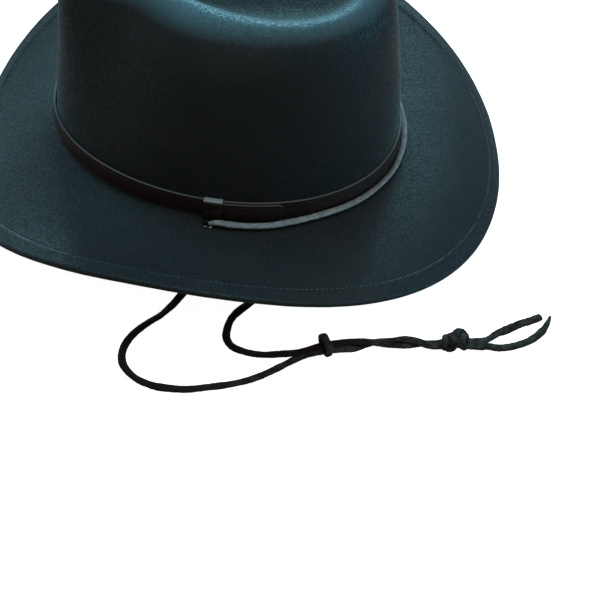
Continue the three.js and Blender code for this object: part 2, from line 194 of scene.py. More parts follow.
@dataclass(frozen=True)
class FurFelt(Finish):
    """Fur felt, dyed in the mass and pounced with fine grit.

    The face is dense and matt, with a nap of very short fibres: it is nearly black where one looks into
    it and shows its teal dye where light rakes across the nap. Its colour is painted lighter on the crown's
    top, a painted highlight.
    """

    body: int = 0x100B0B
    dyed: int = 0x150F0E
    fibre_end: int = 0x1F2628
    # Painted highlight: the lighter colour painted on the crown's top
    top_highlight: int = 0x3A5F6B
    nap: int = 0x7CC6D2
    gloss: int = 0x9CEAF6
    # Heights in millimetres where the painted highlight on the crown's top begins and where it is full
    top_highlight_above_mm: tuple[float, float] = (142.0, 155.0)
    # Fur fibres are some 0.02 mm thick; the nap is drawn this coarse so that its speckle shows.
    fibre_mm: float = 0.75
    nap_mm: float = 0.27
    tuft_mm: float = 1.65
    lump_mm: float = 2.4
    cloud_mm: float = 26.0
    pucker_mm: float = 0.12
    roughness: float = 0.42

    @property
    def title(self) -> str:
        """Felt made from fur and rubbed with grit."""
        return "fur_felt_pounced"

    def shade(self, tree: bpy.types.NodeTree) -> bpy.types.NodeSocket:
        """Dark body colour with clouds and speckle, a raised nap, and puckers along the edge stitching.

        Args:
            tree: the empty node tree.

        Returns:
            The surface.
        """
        where = add_node(tree, "TexCoord", output="Object")
        cloud = add_node(tree, "TexNoise", {"Vector": where, "Scale": per_metre(self.cloud_mm)})
        clouds = add_node(tree, "MapRange", {"Value": cloud, "From Min": 0.35, "From Max": 0.65})
        body = {0: clouds, 6: linear(self.body), 7: linear(self.dyed)}
        ground = add_node(tree, "Mix", body, 2, data_type="RGBA")
        fine = {"Vector": where, "Scale": per_metre(self.fibre_mm)}
        ends = add_node(tree, "TexNoise", fine | {"Detail": 1.0})
        speckle = add_node(tree, "MapRange", {"Value": ends, "From Min": 0.6, "From Max": 0.78})
        speckled = {0: speckle, 6: ground, 7: linear(self.fibre_end)}
        fibres = add_node(tree, "Mix", speckled, 2, data_type="RGBA")
        # Painted highlight: the colour turns lighter on the crown's top, between the two heights
        height = add_node(tree, "SeparateXYZ", {0: where}, "Z")
        highlight_start, full = (z * MM for z in self.top_highlight_above_mm)
        lightened = add_node(tree, "MapRange", {"Value": height, "From Min": highlight_start, "From Max": full})
        colour = add_node(tree, "Mix", {0: lightened, 6: fibres, 7: linear(self.top_highlight)}, 2, data_type="RGBA")
        nap = add_node(tree, "Bump", {
            "Height": add_node(tree, "TexNoise", fine | {"Detail": 3.0}),
            "Strength": 0.95, "Distance": self.nap_mm * MM,
        })
        lump = add_node(tree, "TexNoise", {"Vector": where, "Scale": per_metre(self.lump_mm)})
        lumps = add_node(tree, "Bump", {
            "Height": lump, "Strength": 0.4, "Distance": 0.28 * MM, "Normal": nap,
        })
        pucker = add_node(tree, "Bump", {
            "Height": self.stitch_pull(tree), "Strength": 0.8, "Distance": self.pucker_mm * MM,
            "Normal": lumps,
        })
        tuft = add_node(tree, "TexNoise", {"Vector": where, "Scale": per_metre(self.tuft_mm)})
        lie = add_node(tree, "MapRange", {
            "Value": tuft, "From Min": 0.35, "From Max": 0.65, "To Max": 0.36,
        })
        rough = add_node(tree, "Math", {0: lie, 1: self.roughness}, operation="ADD")
        return add_node(tree, "BsdfPrincipled", {
            "Base Color": colour, "Roughness": rough, "IOR": 1.45, "Specular IOR Level": 0.42,
            "Specular Tint": linear(self.gloss),
            "Sheen Weight": 0.32, "Sheen Roughness": 0.28, "Sheen Tint": linear(self.nap),
            "Normal": pucker,
        })

    def stitch_pull(self, tree: bpy.types.NodeTree) -> bpy.types.NodeSocket:
        """The height of the felt beside the seam, which swells between stitches.

        Args:
            tree: the node tree. The felt's UV map counts stitches along U and millimetres from the
                seam along V.

        Returns:
            The height, from -1 in the dip at each thread's middle to 1 between threads, and 0 away from
            the seam.
        """
        track = add_node(tree, "UVMap", uv_map="stitch_track")
        turn = add_node(
            tree, "Math", {0: add_node(tree, "SeparateXYZ", {0: track}, "X"), 1: math.tau},
            operation="MULTIPLY",
        )
        wave = add_node(tree, "Math", {0: turn}, operation="COSINE")
        away = add_node(
            tree, "Math", {0: add_node(tree, "SeparateXYZ", {0: track}, "Y")}, operation="ABSOLUTE",
        )
        near = add_node(tree, "MapRange", {
            "Value": away, "From Min": 0.3, "From Max": 2.6, "To Min": 1.0, "To Max": 0.0,
        })
        return add_node(tree, "Math", {0: wave, 1: near}, operation="MULTIPLY")


@dataclass(frozen=True)
class StrapLeather(Finish):
    """Vegetable-tanned strap leather, dyed black through and glazed.

    The grain side is smooth with a soft gloss and fine pores, warmer where the dye has worn thin, and the
    burnished edges are greyer; their pale colour is partly a painted highlight.
    """

    face: int = 0x0F0908
    worn: int = 0x1A100D
    # Pale colour of the burnished edges, partly a painted highlight; on the keeper it is a painted highlight
    # on its top
    edge: int = 0x3A4748
    # Pores are some 0.1 mm apart; they are drawn coarser so that they break up the gloss.
    pore_mm: float = 0.7
    crease_mm: float = 2.2
    gloss_mm: float = 5.0
    wear_mm: float = 9.0
    roughness: float = 0.5
    glaze: float = 0.05

    @property
    def title(self) -> str:
        """Strap leather by how much it is glazed."""
        return f"strap_leather_glazed_{round(self.glaze * 100)}"

    def shade(self, tree: bpy.types.NodeTree) -> bpy.types.NodeSocket:
        """Near-black grain leather with pores, faint creases, uneven gloss, and pale edges partly painted as
        a highlight.

        Args:
            tree: the empty node tree.

        Returns:
            The surface.
        """
        where = add_node(tree, "TexCoord", output="Object")
        wear = {"Vector": where, "Scale": per_metre(self.wear_mm), "Detail": 3.0}
        worn = add_node(tree, "MapRange", {
            "Value": add_node(tree, "TexNoise", wear), "From Min": 0.45, "From Max": 0.75,
        })
        grain = {0: worn, 6: linear(self.face), 7: linear(self.worn)}
        face = add_node(tree, "Mix", grain, 2, data_type="RGBA")
        # Painted highlight, in part: the pale edge colour goes where the vertices are marked
        cut = add_node(tree, "MapRange", {
            "Value": add_node(tree, "Attribute", None, "Fac", attribute_name=PALE_EDGE_MARK),
            "From Min": 0.1, "From Max": 0.6,
        })
        colour = add_node(tree, "Mix", {0: cut, 6: face, 7: linear(self.edge)}, 2, data_type="RGBA")
        cells = {"Vector": where, "Scale": per_metre(self.pore_mm)}
        pores = add_node(tree, "Bump", {
            "Height": add_node(tree, "TexVoronoi", cells, feature="DISTANCE_TO_EDGE"),
            "Strength": 0.25, "Distance": 0.05 * MM,
        })
        creases = add_node(tree, "Bump", {
            "Height": add_node(tree, "TexNoise", {"Vector": where, "Scale": per_metre(self.crease_mm)}),
            "Strength": 0.3, "Distance": 0.12 * MM, "Normal": pores,
        })
        gloss = add_node(tree, "MapRange", {
            "Value": add_node(tree, "TexNoise", {"Vector": where, "Scale": per_metre(self.gloss_mm)}),
            "From Min": 0.3, "From Max": 0.7,
            "To Min": self.roughness - 0.07, "To Max": self.roughness + 0.1,
        })
        return add_node(tree, "BsdfPrincipled", {
            "Base Color": colour, "Roughness": gloss, "IOR": 1.5, "Specular IOR Level": 0.3,
            "Coat Weight": self.glaze, "Coat Roughness": 0.25, "Normal": creases,
        })


@dataclass(frozen=True)
class LaceSuede(Finish):
    """Split leather lace, dyed grey-green and left rough.

    It has a powdery, fibrous face that scatters light, lighter where handling has raised the fibres, and
    dark where they lie matted. Near the hat it is painted nearly black as painted shade.
    """

    matted: int = 0x080A09
    raised: int = 0x252D2A
    # Painted shade: the near-black colour of the lace beside and under the hat
    oiled: int = 0x080504
    sheen: int = 0xA8D0CE
    # Hide fibres are some 0.1 mm thick in bundles; they are drawn coarser so that they show.
    fibre_mm: float = 0.7
    streak_mm: float = 0.8
    mottle_mm: float = 5.5
    relief_mm: float = 0.25
    face: Face = Face.FLESH

    @property
    def title(self) -> str:
        """Split leather by the face that shows."""
        return f"lace_leather_split_{self.face.value}"

    def shade(self, tree: bpy.types.NodeTree) -> bpy.types.NodeSocket:
        """Mottled suede whose streaks run along the lace, by its own UV map.

        Args:
            tree: the empty node tree.

        Returns:
            The surface.
        """
        where = add_node(tree, "TexCoord", output="Object")
        track = add_node(tree, "UVMap", uv_map="lace_track")
        drawn = add_node(tree, "Mapping", {"Vector": track, "Scale": (1.0, 0.22, 1.0)})
        along = {"Vector": drawn, "Scale": per_metre(self.streak_mm), "Detail": 3.0}
        streaks = add_node(tree, "TexNoise", along)
        mottle = add_node(tree, "TexNoise", {"Vector": where, "Scale": per_metre(self.mottle_mm)})
        both = add_node(tree, "Math", {0: streaks, 1: mottle}, operation="ADD")
        handled = add_node(tree, "MapRange", {"Value": both, "From Min": 0.9, "From Max": 1.14})
        nap = {0: handled, 6: linear(self.matted), 7: linear(self.raised)}
        lightened = add_node(tree, "Mix", nap, 2, data_type="RGBA")
        # Painted shade: the lace turns near-black where its vertices are marked
        dark = add_node(tree, "Attribute", None, "Fac", attribute_name=SHADE_MARK)
        colour = add_node(tree, "Mix", {0: dark, 6: lightened, 7: linear(self.oiled)}, 2, data_type="RGBA")
        bundles = {"Vector": where, "Scale": per_metre(self.fibre_mm), "Detail": 3.0}
        fibres = add_node(tree, "Bump", {
            "Height": add_node(tree, "TexNoise", bundles),
            "Strength": 0.8, "Distance": self.relief_mm * MM,
        })
        ridges = add_node(tree, "Bump", {
            "Height": streaks, "Strength": 0.6, "Distance": 0.2 * MM, "Normal": fibres,
        })
        return add_node(tree, "BsdfPrincipled", {
            "Base Color": colour, "Roughness": 0.8, "IOR": 1.45, "Specular IOR Level": 0.2,
            "Sheen Weight": 0.05, "Sheen Roughness": 0.5, "Sheen Tint": linear(self.sheen),
            "Normal": ridges,
        })


@dataclass(frozen=True)
class AgedBrass(Finish):
    """Pressed sheet brass, blackened: dark in most places and dull grey-gold where it is rubbed."""

    rubbed: int = 0x7C7A71
    blackened: int = 0x131211
    patch_mm: float = 1.6
    scratch_mm: float = 0.3

    @property
    def title(self) -> str:
        """Sheet brass, pressed and blackened."""
        return "brass_pressed_blackened"

    def shade(self, tree: bpy.types.NodeTree) -> bpy.types.NodeSocket:
        """Metal whose oxide is broken into small rubbed patches.

        Args:
            tree: the empty node tree.

        Returns:
            The surface.
        """
        where = add_node(tree, "TexCoord", output="Object")
        patches = {"Vector": where, "Scale": per_metre(self.patch_mm), "Detail": 3.0}
        bare = add_node(tree, "MapRange", {
            "Value": add_node(tree, "TexNoise", patches), "From Min": 0.5, "From Max": 0.66,
        })
        oxide = {0: bare, 6: linear(self.blackened), 7: linear(self.rubbed)}
        fine = add_node(tree, "Bump", {
            "Height": add_node(tree, "TexNoise", {"Vector": where, "Scale": per_metre(self.scratch_mm)}),
            "Strength": 0.2, "Distance": 0.03 * MM,
        })
        return add_node(tree, "BsdfPrincipled", {
            "Base Color": add_node(tree, "Mix", oxide, 2, data_type="RGBA"),
            "Metallic": 1.0, "Roughness": 0.33, "Normal": fine,
        })


@dataclass(frozen=True)
class StitchThread(Finish):
    """Twisted, waxed polyester thread, a little lighter than the felt."""

    ply: int = 0x445759
    gap: int = 0x12181A
    twist_mm: float = 0.5

    @property
    def title(self) -> str:
        """Waxed sewing thread."""
        return "stitch_thread_waxed"

    def shade(self, tree: bpy.types.NodeTree) -> bpy.types.NodeSocket:
        """Thread with fine dark gaps between its plies.

        Args:
            tree: the empty node tree.

        Returns:
            The surface.
        """
        where = add_node(tree, "TexCoord", output="Object")
        twist = {"Vector": where, "Scale": per_metre(self.twist_mm), "Detail": 0.0}
        plies = add_node(tree, "MapRange", {
            "Value": add_node(tree, "TexNoise", twist), "From Min": 0.35, "From Max": 0.6,
        })
        wound = {0: plies, 6: linear(self.gap), 7: linear(self.ply)}
        return add_node(tree, "BsdfPrincipled", {
            "Base Color": add_node(tree, "Mix", wound, 2, data_type="RGBA"),
            "Roughness": 0.6, "IOR": 1.5, "Specular IOR Level": 0.25,
        })


@dataclass(frozen=True)
class StudioPaper(Finish):
    """Matt white background paper on a level light table, without a texture that would show."""

    white: int = 0xE7E7E7
    lamp: int = 0xFFFFFF
    glow: float = 0.92

    @property
    def title(self) -> str:
        """Matt paper under and behind the hat."""
        return "background_paper_matt"

    def shade(self, tree: bpy.types.NodeTree) -> bpy.types.NodeSocket:
        """Plain matt white, lit from below, so that only the deepest shadows show on it.

        Args:
            tree: the empty node tree.

        Returns:
            The surface.
        """
        return add_node(tree, "BsdfPrincipled", {
            "Base Color": linear(self.white), "Roughness": 0.95, "Specular IOR Level": 0.0,
            "Emission Color": linear(self.lamp), "Emission Strength": self.glow,
        })


# Modelling helpers


def deselect_all() -> None:
    """Leaves nothing selected, because an operator acts on all that is."""
    bpy.ops.object.select_all(action="DESELECT")


def take_up(*pieces: bpy.types.Object) -> None:
    """Selects these pieces alone and makes the first one active.

    Args:
        pieces: the objects that the next operator works on.
    """
    deselect_all()
    for piece in pieces:
        piece.select_set(True)
    bpy.context.view_layer.objects.active = pieces[0]


def named(name: str) -> bpy.types.Object:
    """Names the active object and its mesh.

    Args:
        name: the name of both.

    Returns:
        The active object.
    """
    made = bpy.context.view_layer.objects.active
    made.name = name
    made.data.name = name
    return made


def apply_modifier(piece: bpy.types.Object, kind: str, **settings: Any) -> None:
    """Adds a modifier to a piece and applies it.

    Args:
        piece: the mesh object.
        kind: the modifier's type, such as BEVEL.
        settings: the modifier's properties.
    """
    modifier = piece.modifiers.new(kind.lower(), kind)
    for name, value in settings.items():
        setattr(modifier, name, value)
    take_up(piece)
    bpy.ops.object.modifier_apply(modifier=modifier.name)


def close_up(piece: bpy.types.Object) -> None:
    """Merges the vertices that meet at a seam or a pole and turns every face outward.

    Args:
        piece: the mesh object.
    """
    take_up(piece)
    bpy.ops.object.mode_set(mode="EDIT")
    bpy.ops.mesh.select_all(action="SELECT")
    bpy.ops.mesh.remove_doubles(threshold=MERGE_REACH)
    bpy.ops.mesh.dissolve_degenerate(threshold=MERGE_REACH)
    bpy.ops.mesh.normals_make_consistent(inside=False)
    bpy.ops.object.mode_set(mode="OBJECT")


def smooth(piece: bpy.types.Object, sharp_degrees: float | None = None) -> None:
    """Shades a piece smooth.

    Args:
        piece: the mesh object.
        sharp_degrees: edges sharper than this stay sharp; without it, none does.
    """
    take_up(piece)
    if sharp_degrees is None:
        bpy.ops.object.shade_smooth()
    else:
        bpy.ops.object.shade_smooth_by_angle(angle=math.radians(sharp_degrees))


def spun(name: str, section: Sequence[tuple[float, float]], about: Vector, steps: int) -> bpy.types.Object:
    """Spins a closed section into a ring about the middle.

    Args:
        name: the piece's name.
        section: the section's corners in millimetres, out along X and along the ring's axis.
        about: the ring's axis.
        steps: how many spans go round it.

    Returns:
        The closed ring.
    """
    bpy.ops.mesh.primitive_circle_add(vertices=len(section), radius=MM)
    ring = named(name)
    for vertex, (radius, height) in zip(ring.data.vertices, section):
        vertex.co = (Vector((radius, 0, 0)) + about * height) * MM
    bpy.ops.object.mode_set(mode="EDIT")
    bpy.ops.mesh.select_all(action="SELECT")
    bpy.ops.mesh.spin(steps=steps, angle=math.tau, center=(0, 0, 0), axis=about)
    bpy.ops.object.mode_set(mode="OBJECT")
    close_up(ring)
    return ring


def bent_sheet(
    name: str, columns: int, rows: int, place: Place, track: Place, uv_name: str
) -> bpy.types.Object:
    """Bends a flat grid into a shape, as a sheet of material is.

    Args:
        name: the piece's name.
        columns: spans along the first direction.
        rows: spans along the second.
        place: where each grid point goes, in millimetres, from its column and row numbers.
        track: each grid point's place on the piece's own UV map, from the same numbers.
        uv_name: the UV map's name.

    Returns:
        The piece, with its seams and poles still open.
    """
    bpy.ops.mesh.primitive_grid_add(x_subdivisions=columns, y_subdivisions=rows, size=2, calc_uvs=True)
    piece = named(name)
    mesh = piece.data
    flat = np.zeros(len(mesh.vertices) * 3)
    mesh.vertices.foreach_get("co", flat)
    flat = np.round(flat.reshape(-1, 3), 6)
    column, row = (np.searchsorted(np.unique(flat[:, k]), flat[:, k]) for k in (0, 1))
    mesh.vertices.foreach_set("co", (place(column, row) * MM).ravel())
    corners = np.zeros(len(mesh.loops), dtype=np.int64)
    mesh.loops.foreach_get("vertex_index", corners)
    uv_map = mesh.uv_layers.active
    uv_map.name = uv_name
    uv_map.data.foreach_set("uv", track(column, row)[corners].astype(np.float32).ravel())
    mesh.update()
    return piece


def mark_pale_edges_and_highlights(piece: bpy.types.Object, cut: Callable[[Vector, Vector], float]) -> None:
    """Stores on each vertex, from 0 to 1, how much of the pale edge colour it takes, partly a painted
    highlight.

    Args:
        piece: the finished leather.
        cut: how far a place in metres, with its normal, takes the pale edge colour.
    """
    layer = piece.data.attributes.new(PALE_EDGE_MARK, "FLOAT", "POINT")
    for vertex, mark in zip(piece.data.vertices, layer.data):
        mark.value = cut(vertex.co, vertex.normal)


def finish_piece(piece: bpy.types.Object, finish: Finish, slot: Slot, *nodes: str) -> bpy.types.Object:
    """Gives a piece its material and its body, and hides the imported solids that it stands for.

    Args:
        piece: the finished mesh object.
        finish: what it is made of.
        slot: the slot of that finish; not used.
        nodes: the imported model's nodes that it replaces.

    Returns:
        The piece.
    """
    piece.data.materials.clear()
    piece.data.materials.append(finish.material())
    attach(piece, "root")
    if nodes:
        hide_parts(*nodes)
    LOG.info("%s: %d faces, finish %s", piece.name, len(piece.data.polygons), finish.title)
    return piece


def joined_copies(piece: bpy.types.Object, name: str, places: Sequence[Matrix]) -> bpy.types.Object:
    """Copies one modelled piece to many places and joins the copies.

    Args:
        piece: the pattern, which is removed.
        name: the joined piece's name.
        places: where each copy goes, in metres.

    Returns:
        The joined piece.
    """
    deselect_all()
    for place in places:
        copy = bpy.data.objects.new(name, piece.data.copy())
        copy.data.transform(place)
        bpy.context.scene.collection.objects.link(copy)
        copy.select_set(True)
        bpy.context.view_layer.objects.active = copy
    bpy.ops.object.join()
    pattern = piece.data
    bpy.data.objects.remove(piece)
    bpy.data.meshes.remove(pattern)
    return named(name)


def unit(vectors: Array) -> Array:
    """Vectors at a length of one."""
    return vectors / np.maximum(np.linalg.norm(vectors, axis=-1, keepdims=True), 1e-12)


def run_along(points: Array) -> Array:
    """How far along a line of points each one lies, from 0 at the first."""
    return np.concatenate([[0.0], np.cumsum(np.linalg.norm(np.diff(points, axis=0), axis=-1))])


def bell(distance: Array, width: float) -> Array:
    """A smooth bump that is one at nought and dies away over a width."""
    return np.exp(-((distance / width) ** 2))


def unevenness(points: Array, size_mm: float, seed: float = 0.0) -> Array:
    """How far a soft surface stands out of true.

    Args:
        points: places on it.
        size_mm: how far apart its lumps are.
        seed: which of the like surfaces it is.

    Returns:
        A value for each point, from about -1 to 1.
    """
    shift = Vector((seed, 2 * seed, 3 * seed))
    flat = points.reshape(-1, 3) / size_mm
    values = [noise.noise(Vector(p) + shift) for p in flat]
    return np.array(values).reshape(points.shape[:-1])


def blended(table: Array, at: Array) -> Array:
    """Reads a table between its rows by a smooth curve through them.

    Args:
        table: one row for each station.
        at: where to read, in stations.

    Returns:
        One row for each place.
    """
    last = len(table) - 1
    base = np.clip(np.floor(at).astype(int), 0, last - 1)
    t = (at - base)[:, None]
    before, start, end, after = (table[np.clip(base + i, 0, last)] for i in (-1, 0, 1, 2))
    return 0.5 * (
        2 * start + (end - before) * t + (2 * before - 5 * start + 4 * end - after) * t**2
        + (3 * start - before - 3 * end + after) * t**3
    )


# The hat's form


class CrownLevel(NamedTuple):
    """One level of the crown, in millimetres; rise is added at the ends and taken off at the sides."""

    height: float
    rise: float
    half_length: float
    middle: float
    half_width: float
    egg: float
    pinch: float


CROWN_LEVELS = (
    CrownLevel(1.2, -3, 103, 0, 86.3, 0.052, 0),
    CrownLevel(14, -2.8, 102.8, 0, 85, 0.052, 0),
    CrownLevel(32, -2.2, 102.2, 0, 81.5, 0.07, 1.5),
    CrownLevel(54, -1.2, 100.4, -0.6, 76.5, 0.09, 5),
    CrownLevel(75, 0, 98.8, -1.7, 71, 0.12, 9),
    CrownLevel(90, 1, 97.4, -2.4, 65.5, 0.15, 12),
    CrownLevel(101, 1.8, 95, -2.2, 58.5, 0.2, 13),
    CrownLevel(108.5, 2.2, 90, -1.8, 51, 0.28, 11),
    CrownLevel(112.5, 2.5, 83.5, -1, 43.5, 0.4, 7),
    CrownLevel(113, 2.5, 77, 0, 37, 0.52, 3),
    CrownLevel(109.5, 2.2, 70, 1, 30, 0.55, 1),
    CrownLevel(102.5, 1.6, 60, 2, 22, 0.52, 0),
    CrownLevel(97, 0.8, 45, 3, 14, 0.45, 0),
    CrownLevel(94.5, 0.3, 24, 4, 6.5, 0.3, 0),
    CrownLevel(94, 0, 0, 5, 0, 0, 0),
)


@dataclass(frozen=True)
class HatForm:
    """The blocked shape of the felt in the hat's own axes, in millimetres, as the part's source has it.

    Angles run round the hat from its front, towards the wearer's left. Distances run out from the
    crown's foot along the brim.
    """

    foot_half_length: float = 103.0
    foot_half_width: float = 86.4
    foot_egg: float = 0.052
    foot_drop: float = -3.0
    brim_width: float = 71.8
    edge_thickness: float = 4.0
    fold_width: float = 12.5
    felt_thickness: float = 2.0
    pinch_at: float = 50.0
    pinch_width: float = 21.0
    root_slope: tuple[float, ...] = (-6.5, -9.4, -11.4, -1.0)
    edge_slope: tuple[float, ...] = (-12.0, 7.9, -31.0, -1.2)
    front_dip: float = 7.2
    front_dip_width: float = 25.0
    nose_up: float = 3.4
    foot_forward: float = 2.3
    brim_step: float = 0.2
    trims: tuple[tuple[float, float, float], ...] = ((-50, 30, 4.0), (188, 50, 1.8), (84, 42, -2.4))
    eyelet_angle: float = 91.6
    eyelet_out: float = 8.6

    @property
    def table(self) -> Array:
        """The crown's levels as numbers, one row for each."""
        return np.array(CROWN_LEVELS)

    def outward(self, angle: Array) -> Array:
        """Level outward direction of the foot oval.

        Args:
            angle: where round the hat.

        Returns:
            A unit vector for each angle.
        """
        c, s = np.cos(angle), np.sin(angle)
        across = self.foot_half_width * (c * (1 - self.foot_egg * c) + self.foot_egg * s * s)
        return unit(np.stack([self.foot_half_length * s, -across, 0 * s], axis=-1))

    def crown_row(self, level: Array | CrownLevel, angle: Array) -> Array:
        """Points of the crown's outer face at one level.

        Args:
            level: the seven numbers of a crown level.
            angle: where round the hat.

        Returns:
            One point for each angle.
        """
        height, rise, half_length, middle, half_width, egg, pinch = level
        c, s = np.cos(angle), np.sin(angle)
        from_front = np.degrees(np.abs(np.arctan2(s, c)))
        dent = pinch * bell(from_front - self.pinch_at, self.pinch_width)
        wall = np.stack([
            half_width * s * (1 - egg * c), middle - half_length * c, height + rise * np.cos(2 * angle),
        ], axis=-1)
        return wall - self.outward(angle) * dent[:, None]

    def slope(self, angle: Array, distance: float) -> Array:
        """Slope of the brim's top, upward and outward.

        Args:
            angle: where round the hat.
            distance: how far out along the felt.

        Returns:
            The slope at each angle, in radians.
        """
        from_front = np.degrees(np.arctan2(np.sin(angle), np.cos(angle)))
        dip = self.front_dip * bell(from_front, self.front_dip_width)
        turns = np.arange(len(self.root_slope))[:, None] * angle
        root = np.array(self.root_slope) @ np.cos(turns) - dip
        edge = np.array(self.edge_slope) @ np.cos(turns) - dip
        return np.radians(root + (edge - root) * (distance / self.brim_width) ** 2)

    def along(self, angle: Array, distance: float) -> Array:
        """Direction out along the brim at each angle, at a distance from the crown."""
        slope = self.slope(angle, distance)[:, None]
        return self.outward(angle) * np.cos(slope) + np.array([0, 0, 1]) * np.sin(slope)

    def normal(self, angle: Array, distance: float) -> Array:
        """Direction square to the brim's top at each angle, at a distance from the crown."""
        slope = self.slope(angle, distance)[:, None]
        return np.array([0, 0, 1]) * np.cos(slope) - self.outward(angle) * np.sin(slope)

    def stretch(self, angle: Array) -> Array:
        """How much wider the brim is cut, from each trim's place, spread and millimetres.

        Args:
            angle: where round the hat.

        Returns:
            A factor for each angle, 1 where nothing is trimmed.
        """
        extra = 0 * angle
        for place, spread, more in self.trims:
            off = (np.degrees(angle) - place + 180) % 360 - 180
            extra = extra + more * bell(off, spread)
        return 1 + extra / self.brim_width

    def brim_rows(self, distances: Sequence[float], angle: Array) -> list[Array]:
        """Points of the brim's top at distances from the crown.

        Args:
            distances: how far out along the felt, rising.
            angle: where round the hat.

        Returns:
            One row of points for each distance.
        """
        foot = CrownLevel(
            height=0, rise=self.foot_drop, half_length=self.foot_half_length, middle=0,
            half_width=self.foot_half_width, egg=self.foot_egg, pinch=0,
        )
        point = self.crown_row(foot, angle)
        rows, reached, stretch = [], 0.0, self.stretch(angle)[:, None]
        for distance in distances:
            steps = max(1, math.ceil((distance - reached) / self.brim_step))
            step = (distance - reached) / steps
            for i in range(steps):
                point = point + self.along(angle, reached + (i + 0.5) * step) * step * stretch
            rows.append(point)
            reached = distance
        return rows

    def tipped(self, points: Array) -> Array:
        """Turns points up at the nose about the crown's foot.

        Args:
            points: places in the hat's own axes.

        Returns:
            The same places when the hat lies on its front and back brim.
        """
        c, s = math.cos(math.radians(self.nose_up)), math.sin(math.radians(self.nose_up))
        x, y, z = points[..., 0], points[..., 1], points[..., 2]
        return np.stack([x, y * c + z * s, z * c - y * s], axis=-1)

    def eyelet_middle(self, side: Side) -> Array:
        """Middle of an eyelet.

        Args:
            side: the wearer's left or right.

        Returns:
            The place in the hat's own axes, halfway through the felt.
        """
        angle = np.radians([side.value * self.eyelet_angle])
        top = self.brim_rows([self.eyelet_out], angle)[0]
        return (top - self.normal(angle, self.eyelet_out) * self.felt_thickness / 2)[0]

    @property
    def foot_height(self) -> float:
        """Height of the crown's foot above the floor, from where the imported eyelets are."""
        low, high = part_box("eyelet_left")
        return (low[2] + high[2]) / 2 / MM - float(self.tipped(self.eyelet_middle(Side.LEFT))[2])

    def set_down(self, points: Array) -> Array:
        """Points in the hat's own axes, moved to where the hat lies on the floor."""
        return self.tipped(points) + np.array([0.0, -self.foot_forward, self.foot_height])


def row_normals(rows: Array) -> Array:
    """Unit outward normals of closed rows of points, from their neighbours.

    Args:
        rows: rows of points whose last column repeats the first.

    Returns:
        A normal for each point.
    """
    down = np.gradient(rows, axis=0)
    ring = np.roll(rows[:, :-1], -1, axis=1) - np.roll(rows[:, :-1], 1, axis=1)
    ring = np.concatenate([ring, ring[:, :1]], axis=1)
    normals = np.cross(down, ring)
    normals[np.linalg.norm(ring, axis=-1) < 1e-6] = (0, 0, 1)
    return unit(normals)


# Sub-assemblies


